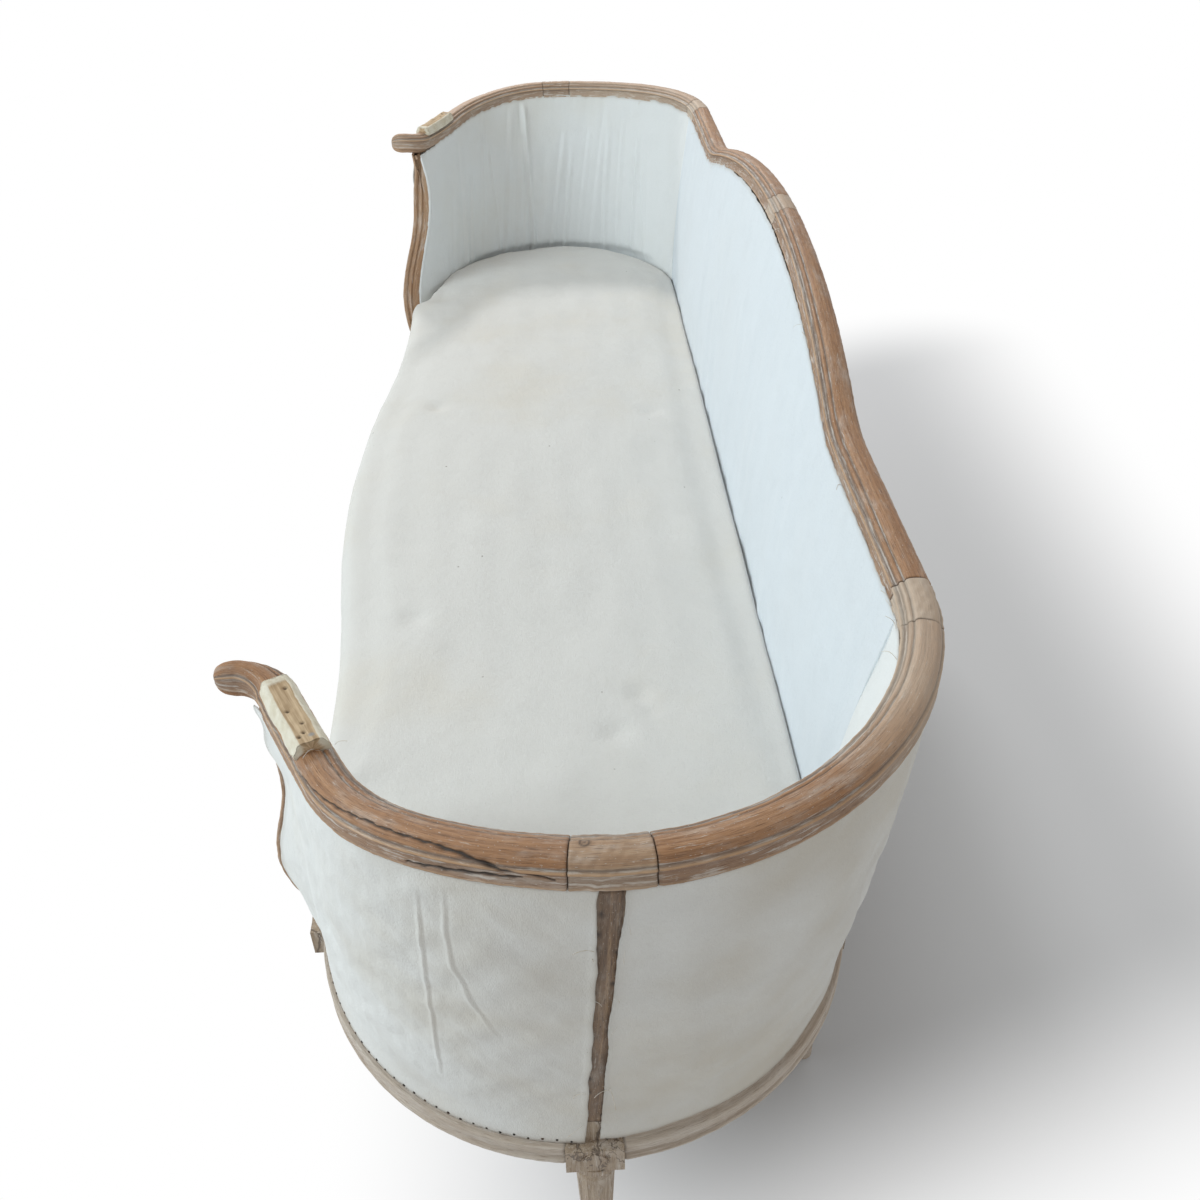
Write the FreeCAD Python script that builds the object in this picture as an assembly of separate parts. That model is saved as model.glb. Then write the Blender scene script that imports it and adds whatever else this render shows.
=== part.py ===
import FreeCAD, Part
import math
import os

from FreeCAD import Vector

# Tub sofa: a moulded top rail on posts runs round the back and both ends of a stuffed seat.
# Frame: +X along the sofa, -Y to its front, +Z up, origin on the floor under its middle.
# Sizes are in millimetres.

# Plan
LENGTH = 2300.0           # over the outer edges of the two end rails
END_RADIUS = 315.0        # outer edge of the top rail round each end
BASE_RADIUS = 312.0       # outer edge of the seat rail round each end
END_FLARE = 62.0          # the rail's end stands out this far beyond the seat rail's
BASE_FORWARD = 20.0       # the seat frame sits this far forward of the top rail
FRONT_REACH = 385.0       # from the centre of the rail's ends to the front rail's crown
WAVE_HALF = 640.0         # from the crown of the front rail to its hollow
WAVE_SWEEP = 45.0         # from the crown back to the hollow
FRONT_LEG_IN = 375.0      # centre of the front corner legs, in from the sofa's end
ARM_BEND = 33.0           # the arm leaves the end's round for a tighter one here, in degrees
ARM_RADIUS = 200.0        # middle line of that tighter round
ARM_ANGLE = 63.0          # where the tighter round ends, in degrees
ARM_STRAIGHT = 130.0      # straight run from there to the forward curl
BASE_ANGLE = 80.0         # the seat frame's round below the front of the arm, in degrees

# Heights
SEAT_RAIL_BOTTOM = 275.0
SEAT_RAIL_HEIGHT = 65.0
SEAT_RAIL_SHOWN = 30.0    # moulded part below the covers
RAIL_TOP = 805.0          # top rail at the end posts
CORNER_RISE = 10.0        # the rail climbs this much to the back corners
ARM_DROP = 38.0           # and falls this much to the front of the arms
CREST_RADIUS = 1920.0     # arch of the crest
CREST_HOLLOW = 340.0      # hollow that eases the arch into the level rail
CREST_TURN = 15.0         # slope where the arch turns to the hollow, in degrees
CREST_LEAN = 16.0         # the crest leans back as it climbs, in degrees
CREST_TILT = 10.0         # and its section tips back with it, in degrees

# Top rail section
RAIL_WIDTH = 38.0
RAIL_HEIGHT = 36.0
RAIL_CROWN = 3.0
RAIL_QUIRK = 4.0          # step between the top face and the bead
BEAD_WIDTH = 5.0
BEAD_HEIGHT = 6.0
COVE_DEPTH = 2.5
REBATE_DEPTH = 7.0        # notch under the mouldings for the covers' edges
REBATE_HEIGHT = 8.0

# Seat rail section
SEAT_RAIL_WIDTH = 45.0
SEAT_REBATE = 8.0         # set-back above the moulded part
SEAT_BEAD = 7.0
SEAT_COVE = 2.2

# Arm ends
HOOK_RADIUS = 45.0        # forward curl of the arm
HOOK_TURN = 65.0          # in degrees
HOOK_POST = 36.0          # where the front post meets it, in degrees
NOSE_LENGTH = 16.0
NOSE_WIDTH = 22.0
NOSE_HEIGHT = 24.0
PAD_BASE_IN = 12.0        # from the start of the curl back to the pad base
PAD_BASE_LENGTH = 96.0
PAD_BASE_WIDTH = 32.0     # at its foot
PAD_BASE_TOP = 20.0       # width of its upper face
PAD_BASE_HEIGHT = 10.0    # above the rail
PAD_BASE_SEAT = 5.0       # let into the rail

# Posts and their joint blocks
BLOCK_LENGTH = 62.0
POST_WIDTH = 46.0
POST_SHOWN = 26.0         # bare strip between the covers
POST_THICK = 24.0
FRONT_POST_WIDTH = 34.0
FRONT_POST_DEPTH = 30.0
FRONT_POST_SWAY = 18.0    # S-curve of the front post

# Legs
DIE_WIDTH = 60.0
DIE_PROUD = 3.0           # the die stands out beyond the rail's mouldings
DIE_DROP = 8.0            # and hangs below the rail
DIE_BACK = 3.0            # and is deeper than the rail at the back
FRONT_DIE_DEPTH = 92.0    # the front corner dies take the round end rails behind them
ROSETTE_RADIUS = 14.0
ROSETTE_RISE = 2.0
LEG_TOP_RADIUS = 21.0
LEG_FOOT_RADIUS = 13.0
COLLAR_RADIUS = 27.0
COLLAR_HEIGHT = 14.0
NECK_RADIUS = 18.0
NECK_HEIGHT = 10.0
FOOT_HEIGHT = 22.0
FLUTES = 10
FLUTE_RADIUS = 4.0

# Joinery
TENON_LENGTH = 18.0
TENON_THICK = 14.0
TENON_HEIGHT = 40.0
RAIL_TENON_LENGTH = 24.0
RAIL_TENON_THICK = 9.0
RAIL_TENON_HEIGHT = 16.0
FOOT_TENON = 14.0
FOOT_TENON_LENGTH = 30.0
TENON_ROOT = 10.0         # the tenon's hold in its own piece
JOINT_GAP = 0.2
PEG_RADIUS = 3.0
BRACE_WIDTH = 40.0
BRACE_HEIGHT = 36.0
BRACE_TENON = 11.0

# Upholstery
CLEAR = 0.3               # between a soft piece and its neighbour
COVER_THICK = 2.5
COVER_BULGE = 7.0
COVER_SLACK = 0.6         # least swell, where the cover lies on a post
HEAD_GAP = 1.5            # between a cover's upper edge and the top rail
COVER_FORWARD = 10.0      # the arm's cover reaches past the middle of the front post's side
WEB_WIDTH = 60.0
WEB_THICK = 2.0
WEB_PITCH = 130.0
LONG_WEBS = 4
HESSIAN_THICK = 1.5
WALL_FOOT = 17.0          # thickness of the stuffed wall at its foot
WALL_BELLY = 15.0         # swell of the wall towards the sitter
WALL_BELLY_AT = 480.0     # height of the fullest part
WALL_HEAD = 3.0           # thickness under the top rail
SEAT_GAP = 2.0            # between the seat and its neighbours
SEAT_BACK_IN = 6.0        # the seat keeps clear of the walls' swell along the back
SEAT_END_OUT = 7.0        # and reaches further to the round ends
SEAT_EDGE = 458.0         # height of the seat's rounded edge
SEAT_CROWN = 22.0         # the seat's middle above its edge
SEAT_ROUND = 26.0         # rounding of the edge
SEAT_DRAW = 4.0           # the sides draw in this much towards the rails
SEAT_FLAT = 170.0         # the crown eases to a flat this far in
SEAT_LAP = 3.0            # the seat's cover over the front rail
TACK_HEAD = 4.5
TACK_HEAD_RISE = 1.2
TACK_SHANK = 1.1
TACK_LENGTH = 9.0
TACK_PITCH = 42.0

# Places that follow from the sizes above
SEAT_RAIL_TOP = SEAT_RAIL_BOTTOM + SEAT_RAIL_HEIGHT
COVER_FOOT = SEAT_RAIL_BOTTOM + SEAT_RAIL_SHOWN
CREST_RISE = (CREST_RADIUS + CREST_HOLLOW) * (1 - math.cos(math.radians(CREST_TURN)))
CREST_BACK = CREST_RISE * math.tan(math.radians(CREST_LEAN))
TOP_CX = LENGTH / 2 - END_RADIUS
TOP_CY = (FRONT_REACH + DIE_PROUD + ROSETTE_RISE - END_RADIUS - CREST_BACK) / 2
BASE_CX = LENGTH / 2 - END_FLARE - BASE_RADIUS
FRONT_LEG_X = LENGTH / 2 - FRONT_LEG_IN
BASE_CY = TOP_CY - BASE_FORWARD
TOP_RC = END_RADIUS - RAIL_WIDTH / 2
BASE_RC = BASE_RADIUS - SEAT_RAIL_WIDTH / 2
WAVE_RADIUS = ((WAVE_HALF / 2) ** 2 + (WAVE_SWEEP / 2) ** 2) / WAVE_SWEEP
WAVE_TURN = math.asin(WAVE_HALF / 2 / WAVE_RADIUS)
FRONT_CROWN_Y = TOP_CY - FRONT_REACH
SEAT_FACE = SEAT_RAIL_WIDTH / 2 - SEAT_REBATE
WEB_TOP = SEAT_RAIL_TOP + 2 * WEB_THICK
HESSIAN_TOP = WEB_TOP + HESSIAN_THICK
CORE = RAIL_WIDTH / 2 - REBATE_DEPTH
POST_FACE = SEAT_FACE - 0.7
POST_BACK = POST_FACE - POST_THICK
WALL_BACK = POST_BACK - WEB_THICK - 2 * CLEAR
WALL_FACE = WALL_BACK - WALL_FOOT

# Stations round the sofa's right half: 0 back centre, 1 back corner, 2 end, 3 front of the arm.
QUARTER = math.pi / 2 * TOP_RC
BEND_RUN = math.radians(ARM_BEND) * TOP_RC
ROUND_RUN = BEND_RUN + math.radians(ARM_ANGLE - ARM_BEND) * ARM_RADIUS
ARM_RUN = ROUND_RUN + ARM_STRAIGHT
CENTRE_HALF = BLOCK_LENGTH / 2 / TOP_CX
END_HALF = BLOCK_LENGTH / 2 / QUARTER
ARM_HALF = BLOCK_LENGTH / 2 / ARM_RUN
CORNER = 1 + END_HALF
CORNER_END = 1 + 2 * END_HALF
WALL_LAST = 2.9           # last station of the walls before they turn to the front post

parts = {}


class Station:
    """A place on the frame, with its directions along, out and up."""

    def __init__(self, point, along, out, up=None):
        self.point = point
        self.along = along
        self.out = out
        self.up = up or Vector(0, 0, 1)

    def at(self, along, out, up):
        return self.point + self.along * along + self.out * out + self.up * up


def spaced(first, last, count):
    return [first + (last - first) * i / (count - 1) for i in range(count)]


def swing(share):
    """Ease from 0 to 1."""
    share = min(max(share, 0), 1)
    return (1 - math.cos(math.pi * share)) / 2


def crest_rise(x):
    """Height of the crest above the level rail: an arch, then a hollow, then level."""
    turn = math.radians(CREST_TURN)
    arch_end = CREST_RADIUS * math.sin(turn)
    hollow_end = arch_end + CREST_HOLLOW * math.sin(turn)
    if x <= arch_end:
        return CREST_RISE - CREST_RADIUS + math.sqrt(CREST_RADIUS ** 2 - x ** 2)
    if x < hollow_end:
        return CREST_HOLLOW - math.sqrt(CREST_HOLLOW ** 2 - (hollow_end - x) ** 2)
    return 0.0


def ring(k, cx, cy, radius):
    """Station on the line of the back and the round end."""
    if k <= 1:
        return Station(Vector(k * cx, cy + radius, 0), Vector(1, 0, 0), Vector(0, 1, 0))
    return turned(Vector(cx, cy, 0), radius, 90 * (2 - k) if k <= 2 else -(k - 2) * BASE_ANGLE)


def turned(centre, radius, degrees):
    """Station on a round, running towards the front."""
    angle = math.radians(degrees)
    out = Vector(math.cos(angle), math.sin(angle), 0)
    along = Vector(math.sin(angle), -math.cos(angle), 0)
    return Station(centre + out * radius, along, out)


def arm_line(run):
    """Station so far along the arm from the end: the end's round, a tighter one, then straight."""
    middle = Vector(TOP_CX, TOP_CY, 0)
    if run <= BEND_RUN:
        return turned(middle, TOP_RC, -math.degrees(run / TOP_RC))
    middle = turned(middle, TOP_RC - ARM_RADIUS, -ARM_BEND).point
    turn = min(ARM_BEND + math.degrees((run - BEND_RUN) / ARM_RADIUS), ARM_ANGLE)
    place = turned(middle, ARM_RADIUS, -turn)
    place.point += place.along * max(run - ROUND_RUN, 0)
    return place


def base(k, height=0.0):
    """Middle line of the seat rail."""
    place = ring(k, BASE_CX, BASE_CY, BASE_RC)
    place.point.z = height
    return place


def top(k):
    """Middle line of the top rail, at its upper face."""
    place = ring(k, TOP_CX, TOP_CY, TOP_RC) if k <= 2 else arm_line((k - 2) * ARM_RUN)
    if k <= 1:
        rise = crest_rise(abs(place.point.x))
        place.point.y += rise * math.tan(math.radians(CREST_LEAN))
        place.point.z = RAIL_TOP + CORNER_RISE + rise
        tilt = math.radians(CREST_TILT) * rise / CREST_RISE
        place.out = Vector(0, math.cos(tilt), -math.sin(tilt))
        place.up = Vector(0, math.sin(tilt), math.cos(tilt))
    elif k <= 2:
        climb = (2 - END_HALF - k) / (1 - END_HALF - 2 * END_HALF)
        place.point.z = RAIL_TOP + CORNER_RISE * swing(climb)
    else:
        fall = (k - 2 - ARM_HALF) / (1 - ARM_HALF)
        place.point.z = RAIL_TOP - ARM_DROP * swing(fall)
    return place


def hook(turn):
    """Station on the forward curl at the front of the arm, turned by so many degrees."""
    start = top(3)
    centre = start.point + start.out * HOOK_RADIUS
    spin = FreeCAD.Rotation(Vector(0, 0, 1), turn)
    out = spin.multVec(start.out)
    return Station(centre - out * HOOK_RADIUS, spin.multVec(start.along), out)


def wall(k, height, out):
    """Point on the wall, which leans out from the seat rail to the top rail and is upright below."""
    foot = base(k, SEAT_RAIL_TOP)
    run = top(k).at(0, 0, -RAIL_HEIGHT) - foot.point
    share = (height - foot.point.z) / run.z
    if share < 0:
        run -= foot.out * run.dot(foot.out)
    return foot.point + run * share + foot.out * out


def front(x):
    """Station on the outer face of the waved front rail, facing the front."""
    side = 1 if x >= 0 else -1
    if abs(x) <= WAVE_HALF / 2:
        y = FRONT_CROWN_Y + WAVE_RADIUS - math.sqrt(WAVE_RADIUS ** 2 - x ** 2)
        out = Vector(x, y - FRONT_CROWN_Y - WAVE_RADIUS, 0)
    else:
        reach = side * WAVE_HALF - x
        drop = WAVE_RADIUS - math.sqrt(WAVE_RADIUS ** 2 - reach ** 2)
        y = FRONT_CROWN_Y + WAVE_SWEEP - drop
        out = Vector(reach, FRONT_CROWN_Y + WAVE_SWEEP - WAVE_RADIUS - y, 0)
    out.normalize()
    return Station(Vector(x, y, 0), Vector(-out.y, out.x, 0) * -1, out)


def outline(start, moves, place):
    """Closed wire: each move is an end point, or a point to pass and an end point."""
    edges = []
    here = start
    for move in list(moves) + [(start,)]:
        end = move[-1]
        if len(move) == 1:
            edges.append(Part.makeLine(place(*here), place(*end)))
        else:
            edges.append(Part.Arc(place(*here), place(*move[0]), place(*end)).toShape())
        here = end
    return Part.Wire(edges)


def rail_section(place, width=RAIL_WIDTH, height=RAIL_HEIGHT):
    """Top rail: crowned face, a bead and a cove each side, and a rebate for the covers."""
    across = width / RAIL_WIDTH
    deep = height / RAIL_HEIGHT
    half = RAIL_WIDTH / 2
    step = half - BEAD_WIDTH
    bead_top = -RAIL_CROWN - RAIL_QUIRK
    bead_foot = bead_top - BEAD_HEIGHT
    ledge = REBATE_HEIGHT - RAIL_HEIGHT
    lip = half - 0.5
    cove = (half - COVE_DEPTH, (bead_foot + ledge) / 2)
    bead = (half, bead_top - BEAD_HEIGHT * 0.45)
    moves = [
        ((-CORE, ledge),),
        ((-lip, ledge),),
        ((-cove[0], cove[1]), (-lip, bead_foot)),
        ((-bead[0], bead[1]), (-step - 1, bead_top)),
        ((-step, -RAIL_CROWN),),
        ((0, 0), (step, -RAIL_CROWN)),
        ((step + 1, bead_top),),
        (bead, (lip, bead_foot)),
        (cove, (lip, ledge)),
        ((CORE, ledge),),
        ((CORE, -RAIL_HEIGHT),),
    ]
    return outline((-CORE, -RAIL_HEIGHT), moves, lambda u, w: place.at(0, u * across, w * deep))


def seat_section(place):
    """Seat rail: bead, cove and flat band below, set back above for the covers."""
    half = SEAT_RAIL_WIDTH / 2
    band = SEAT_RAIL_SHOWN - 12
    moves = [
        ((half - 5, 0),),
        ((half - 1, SEAT_BEAD / 2), (half - 5, SEAT_BEAD)),
        ((half - 3, SEAT_BEAD + 1.5),),
        ((half - 2.5 - SEAT_COVE, (SEAT_BEAD + band) / 2), (half - 2, band - 2)),
        ((half, band),),
        ((half, SEAT_RAIL_SHOWN - 4),),
        ((half - 2, SEAT_RAIL_SHOWN),),
        ((SEAT_FACE, SEAT_RAIL_SHOWN),),
        ((SEAT_FACE, SEAT_RAIL_HEIGHT),),
        ((-half, SEAT_RAIL_HEIGHT),),
    ]
    return outline((-half, 0), moves, lambda u, w: place.at(0, u, w))


def loft(wires, ruled=False):
    return Part.makeLoft(wires, True, ruled)


def quad(corners):
    return Part.makePolygon(list(corners) + [corners[0]])


def box_at(place, along, out, up):
    """Box between two distances along each of a station's directions."""
    size = [span[1] - span[0] for span in (along, out, up)]
    shape = Part.makeBox(*size, Vector(along[0], out[0], up[0]))
    axes = [place.along, place.out, place.up]
    if axes[0].cross(axes[1]).dot(axes[2]) < 0:
        raise ValueError("the station's directions are left-handed")
    p = place.point
    rows = [[a.x for a in axes] + [p.x], [a.y for a in axes] + [p.y], [a.z for a in axes] + [p.z]]
    matrix = FreeCAD.Matrix(*rows[0], *rows[1], *rows[2], 0, 0, 0, 1)
    shape.Placement = FreeCAD.Placement(matrix)
    return shape


def whole(shape):
    """The largest solid of a cut or joined shape."""
    shape = shape.removeSplitter()
    return max(shape.Solids, key=lambda solid: solid.Volume)


def mirrored(shape):
    return shape.mirror(Vector(0, 0, 0), Vector(1, 0, 0))


def both_ends(name, shape):
    parts[name + "_right"] = shape
    parts[name + "_left"] = mirrored(shape)


# Leg stations: the die's middle line on the seat rail, facing out.
def front_station(x):
    place = front(x)
    out = Vector(0, -1, 0)
    point = Vector(x, place.point.y + SEAT_RAIL_WIDTH / 2, 0)
    return Station(point, Vector(-1, 0, 0), out)


LEGS = {
    "front_centre": front_station(0.0),
    "front": front_station(FRONT_LEG_X),
    "end": base(2),
    "back_corner": base(CORNER),
    "back_centre": base(0),
}


def die_depth(name):
    return FRONT_DIE_DEPTH if name == "front" else SEAT_RAIL_WIDTH + DIE_BACK


def die_shape(name):
    """Square top of a leg: proud of the mouldings below, set back above for the covers."""
    place = LEGS[name]
    half = DIE_WIDTH / 2
    back = SEAT_RAIL_WIDTH / 2 - die_depth(name)
    face = SEAT_RAIL_WIDTH / 2 + DIE_PROUD
    bottom = SEAT_RAIL_BOTTOM - DIE_DROP
    lower = box_at(place, (-half, half), (back, face), (bottom, COVER_FOOT))
    set_back = SEAT_FACE - DIE_WIDTH ** 2 / 8 / BASE_RC - CLEAR
    upper = box_at(place, (-half, half), (back, set_back), (bottom, SEAT_RAIL_TOP))
    return lower.fuse(upper)


def seat_tenon(name, side, gap=0.0):
    """Tenon of a seat rail in a die; with a gap, the mortise that takes it."""
    half = DIE_WIDTH / 2
    ends = sorted((side * (half - TENON_LENGTH - gap), side * (half + (0 if gap else TENON_ROOT))))
    out = TENON_THICK / 2 + gap
    middle = SEAT_RAIL_BOTTOM + SEAT_RAIL_HEIGHT / 2 - 5
    up = TENON_HEIGHT / 2 + gap
    return box_at(LEGS[name], ends, (-out, out), (middle - up, middle + up))


def peg(name, side):
    """Peg through a seat rail tenon, driven from the inner face of the die."""
    place = LEGS[name]
    back = SEAT_RAIL_WIDTH / 2 - die_depth(name)
    middle = SEAT_RAIL_BOTTOM + SEAT_RAIL_HEIGHT / 2 - 5
    start = place.at(side * (DIE_WIDTH - TENON_LENGTH) / 2, back, middle)
    return Part.makeCylinder(PEG_RADIUS, TENON_THICK / 2 + 4 - back, start, place.out)


def foot_tenon(place, gap=0.0):
    half = FOOT_TENON / 2 + gap
    deep = SEAT_RAIL_TOP - FOOT_TENON_LENGTH - gap
    return box_at(place, (-half, half), (-half, half), (deep, SEAT_RAIL_TOP + (0 if gap else 2)))


def brace_shape(gap=0.0):
    """Brace under the seat from the front centre leg to the back centre leg, stub-tenoned."""
    die_in = -SEAT_RAIL_WIDTH / 2 - DIE_BACK
    front_in = LEGS["front_centre"].at(0, die_in, 0).y
    back_in = LEGS["back_centre"].at(0, die_in, 0).y
    low = SEAT_RAIL_BOTTOM + 10
    half = BRACE_WIDTH / 2
    bar = Part.makeBox(BRACE_WIDTH, back_in - front_in, BRACE_HEIGHT, Vector(-half, front_in, low))
    stub = half - 8 + gap
    reach = BRACE_TENON + gap
    tenon = Part.makeBox(2 * stub, back_in - front_in + 2 * reach, BRACE_HEIGHT - 12 + 2 * gap,
                         Vector(-stub, front_in - reach, low + 6 - gap))
    return tenon if gap else bar.fuse(tenon)


def shaft():
    """Turned leg below the die: foot, fluted taper, neck and collar, about the Z axis."""
    top_z = SEAT_RAIL_BOTTOM - DIE_DROP
    collar = top_z - COLLAR_HEIGHT
    neck = collar - NECK_HEIGHT
    shoulder = neck - 6
    points = [(0, 0), (LEG_FOOT_RADIUS - 3, 0), (LEG_FOOT_RADIUS, 4), (LEG_FOOT_RADIUS, FOOT_HEIGHT - 6),
              (LEG_FOOT_RADIUS - 3, FOOT_HEIGHT - 2), (LEG_FOOT_RADIUS, FOOT_HEIGHT),
              (LEG_TOP_RADIUS, shoulder), (NECK_RADIUS, neck - 1), (NECK_RADIUS, collar),
              (COLLAR_RADIUS - 3, collar + 2), (COLLAR_RADIUS, collar + 5),
              (COLLAR_RADIUS, top_z), (0, top_z)]
    turned = Part.Face(quad([Vector(r, 0, z) for r, z in points])).revolve(
        Vector(0, 0, 0), Vector(0, 0, 1), 360)
    low, high = FOOT_HEIGHT + 14, shoulder - 10
    slope = (LEG_TOP_RADIUS - LEG_FOOT_RADIUS) / (shoulder - FOOT_HEIGHT)
    radius_low = LEG_FOOT_RADIUS + slope * (low - FOOT_HEIGHT) + FLUTE_RADIUS * 0.55
    lean = Vector(slope * (high - low), 0, high - low)
    flute = Part.makeCylinder(FLUTE_RADIUS, lean.Length, Vector(radius_low, 0, low), lean)
    for i in range(FLUTES):
        turn = flute.copy()
        turn.rotate(Vector(0, 0, 0), Vector(0, 0, 1), 360.0 * (i + 0.5) / FLUTES)
        turned = turned.cut(turn)
    return turned


TURNED = shaft()


def leg(name, tenons, standing=None, extra=None):
    """Die and turned shaft in one piece, with its rosette, mortises and peg holes."""
    place = LEGS[name]
    shape = TURNED.copy()
    shape.translate(place.at(0, 0, 0))
    shape = shape.fuse(die_shape(name))
    middle = (SEAT_RAIL_BOTTOM - DIE_DROP + COVER_FOOT) / 2
    face = place.at(0, SEAT_RAIL_WIDTH / 2 + DIE_PROUD - 1, middle)
    shape = shape.fuse(Part.makeCylinder(ROSETTE_RADIUS, ROSETTE_RISE + 1, face, place.out))
    for side in tenons:
        shape = shape.cut(seat_tenon(name, side, JOINT_GAP)).cut(peg(name, side))
    if standing:
        shape = shape.cut(foot_tenon(standing, JOINT_GAP))
    if extra:
        shape = shape.cut(extra)
    return whole(shape)


FRONT_POST_FOOT = Station(
    Vector(FRONT_LEG_X, LEGS["front"].point.y + 5, 0),
    Vector(-1, 0, 0), Vector(0, -1, 0))

both_ends("front_leg", leg("front", (-1, 1), FRONT_POST_FOOT))
both_ends("end_leg", leg("end", (-1, 1), LEGS["end"]))
both_ends("back_corner_leg", leg("back_corner", (-1, 1), LEGS["back_corner"]))
parts["front_centre_leg"] = leg("front_centre", (-1, 1), None, brace_shape(JOINT_GAP))
parts["back_centre_leg"] = leg("back_centre", (-1, 1), LEGS["back_centre"], brace_shape(JOINT_GAP))


# Seat rails, cut to the dies and tenoned into them.
def round_rail(first, last):
    """Seat rail round an end, between two angles in degrees."""
    k = 2 - first / 90 if first >= 0 else 2 - first / BASE_ANGLE
    section = Part.Face(seat_section(base(k, SEAT_RAIL_BOTTOM)))
    return section.revolve(Vector(BASE_CX, BASE_CY, 0), Vector(0, 0, 1), last - first)


def straight_rail():
    section = Part.Face(seat_section(base(0, SEAT_RAIL_BOTTOM)))
    return section.extrude(Vector(BASE_CX, 0, 0))


def wave_rail(section):
    """Run a section along the waved front, from the centre to the front corner leg."""
    crown = Vector(0, FRONT_CROWN_Y + WAVE_RADIUS, 0)
    hollow = Vector(WAVE_HALF, FRONT_CROWN_Y + WAVE_SWEEP - WAVE_RADIUS, 0)
    turn = math.degrees(WAVE_TURN)
    beyond = math.degrees(math.asin((FRONT_LEG_X - WAVE_HALF) / WAVE_RADIUS))
    up = Vector(0, 0, 1)
    bulge = Part.Face(section(front(0.0))).revolve(crown, up, turn)
    dip = Part.Face(section(front(WAVE_HALF / 2))).revolve(hollow, up, -turn - beyond)
    return bulge.fuse(dip)


def front_section(place):
    return seat_section(Station(place.at(0, -SEAT_RAIL_WIDTH / 2, SEAT_RAIL_BOTTOM), place.along, place.out))


def seat_rail(shape, first, first_side, last, last_side):
    for name, side in ((first, first_side), (last, last_side)):
        shape = shape.cut(die_shape(name))
    shape = whole(shape)
    for name, side in ((first, first_side), (last, last_side)):
        shape = shape.fuse(seat_tenon(name, side)).cut(peg(name, side))
    return whole(shape)


corner_degrees = 90 * (2 - CORNER)
front_die_left = FRONT_LEG_X - BASE_CX
front_degrees = math.degrees(math.acos(front_die_left / BASE_RC))
back_run = straight_rail().fuse(round_rail(corner_degrees, 90.0))
both_ends("back_seat_rail", seat_rail(back_run, "back_centre", 1, "back_corner", -1))
both_ends("end_seat_rail_back", seat_rail(round_rail(0.0, corner_degrees), "back_corner", 1, "end", -1))
both_ends("end_seat_rail_front", seat_rail(round_rail(-front_degrees, 0.0), "end", 1, "front", -1))
both_ends("front_seat_rail", seat_rail(wave_rail(front_section), "front_centre", -1, "front", 1))
parts["seat_brace"] = whole(brace_shape())

pegs = [peg(name, side) for name in ("front", "end", "back_corner") for side in (-1, 1)]
pegs += [mirrored(shape) for shape in pegs]
pegs += [peg(name, side) for name in ("front_centre", "back_centre") for side in (-1, 1)]
parts["joint_pegs"] = Part.makeCompound(pegs)


# Top rail lengths and the posts whose joint blocks interrupt them.
def rail_run(stations):
    return loft([rail_section(place) for place in stations])


def rail_tenon(place, side, gap=0.0):
    """Tenon of a rail length in a joint block; the side says which way the block lies."""
    ends = sorted((side * (RAIL_TENON_LENGTH + gap), -side * (0 if gap else TENON_ROOT)))
    out = RAIL_TENON_THICK / 2 + gap
    up = RAIL_TENON_HEIGHT / 2 + gap
    middle = -RAIL_HEIGHT / 2
    return box_at(place, ends, (-out, out), (middle - up, middle + up))


def post(k, first, last):
    """Post with its joint block, between the rail's stations first and last."""
    block = rail_run([top(at) for at in spaced(first, last, 3)])
    foot = base(k, SEAT_RAIL_TOP)
    half = POST_WIDTH / 2
    low = [foot.at(-half, POST_BACK, 0), foot.at(half, POST_BACK, 0),
           foot.at(half, POST_FACE, 0), foot.at(-half, POST_FACE, 0)]
    head = top(k)
    level = Vector(head.out.x, head.out.y, 0)
    level.normalize()
    core = CORE - 0.7
    high = [head.at(0, 0, 2 - RAIL_HEIGHT) + head.along * s + level * u
            for s, u in ((-half, -core), (half, -core), (half, core), (-half, core))]
    shape = loft([quad(low), quad(high)], True).fuse(block)
    shape = shape.fuse(foot_tenon(foot_level(foot)))
    shape = shape.cut(rail_tenon(top(first), 1, JOINT_GAP))
    shape = shape.cut(rail_tenon(top(last), -1, JOINT_GAP))
    return whole(shape)


def foot_level(place):
    return Station(Vector(place.point.x, place.point.y, 0), place.along, place.out)


def rail_length(first, last, count):
    shape = rail_run([top(at) for at in spaced(first, last, count)])
    shape = shape.fuse(rail_tenon(top(first), -1))
    return whole(shape.fuse(rail_tenon(top(last), 1)))


both_ends("end_post", post(2, 2 - END_HALF, 2 + ARM_HALF))
both_ends("back_corner_post", post(CORNER, 1, CORNER_END))
parts["back_centre_post"] = post(0, -CENTRE_HALF, CENTRE_HALF)
both_ends("crest_rail", rail_length(CENTRE_HALF, 1, 14))
both_ends("shoulder_rail", rail_length(CORNER_END, 2 - END_HALF, 7))


# Arm lengths: round the end, then a forward curl to a rounded nose over the front post.
def arm_stations():
    return [top(k) for k in spaced(2 + ARM_HALF, 3, 13)] + [hook(HOOK_TURN * i / 5) for i in (1, 2, 3, 4, 5)]


def pad_base():
    wires = []
    half, upper = PAD_BASE_WIDTH / 2, PAD_BASE_TOP / 2
    last = ARM_RUN - PAD_BASE_IN
    for run in spaced(last - PAD_BASE_LENGTH, last, 4):
        place = top(2 + run / ARM_RUN)
        wires.append(quad([place.at(0, -half, -PAD_BASE_SEAT), place.at(0, half, -PAD_BASE_SEAT),
                           place.at(0, upper, PAD_BASE_HEIGHT), place.at(0, -upper, PAD_BASE_HEIGHT)]))
    return loft(wires)


def front_post_head():
    """Top of the front post: the level underside of the arm's curl."""
    place = hook(HOOK_POST)
    return Vector(place.point.x, place.point.y, place.point.z - RAIL_HEIGHT)


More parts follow.
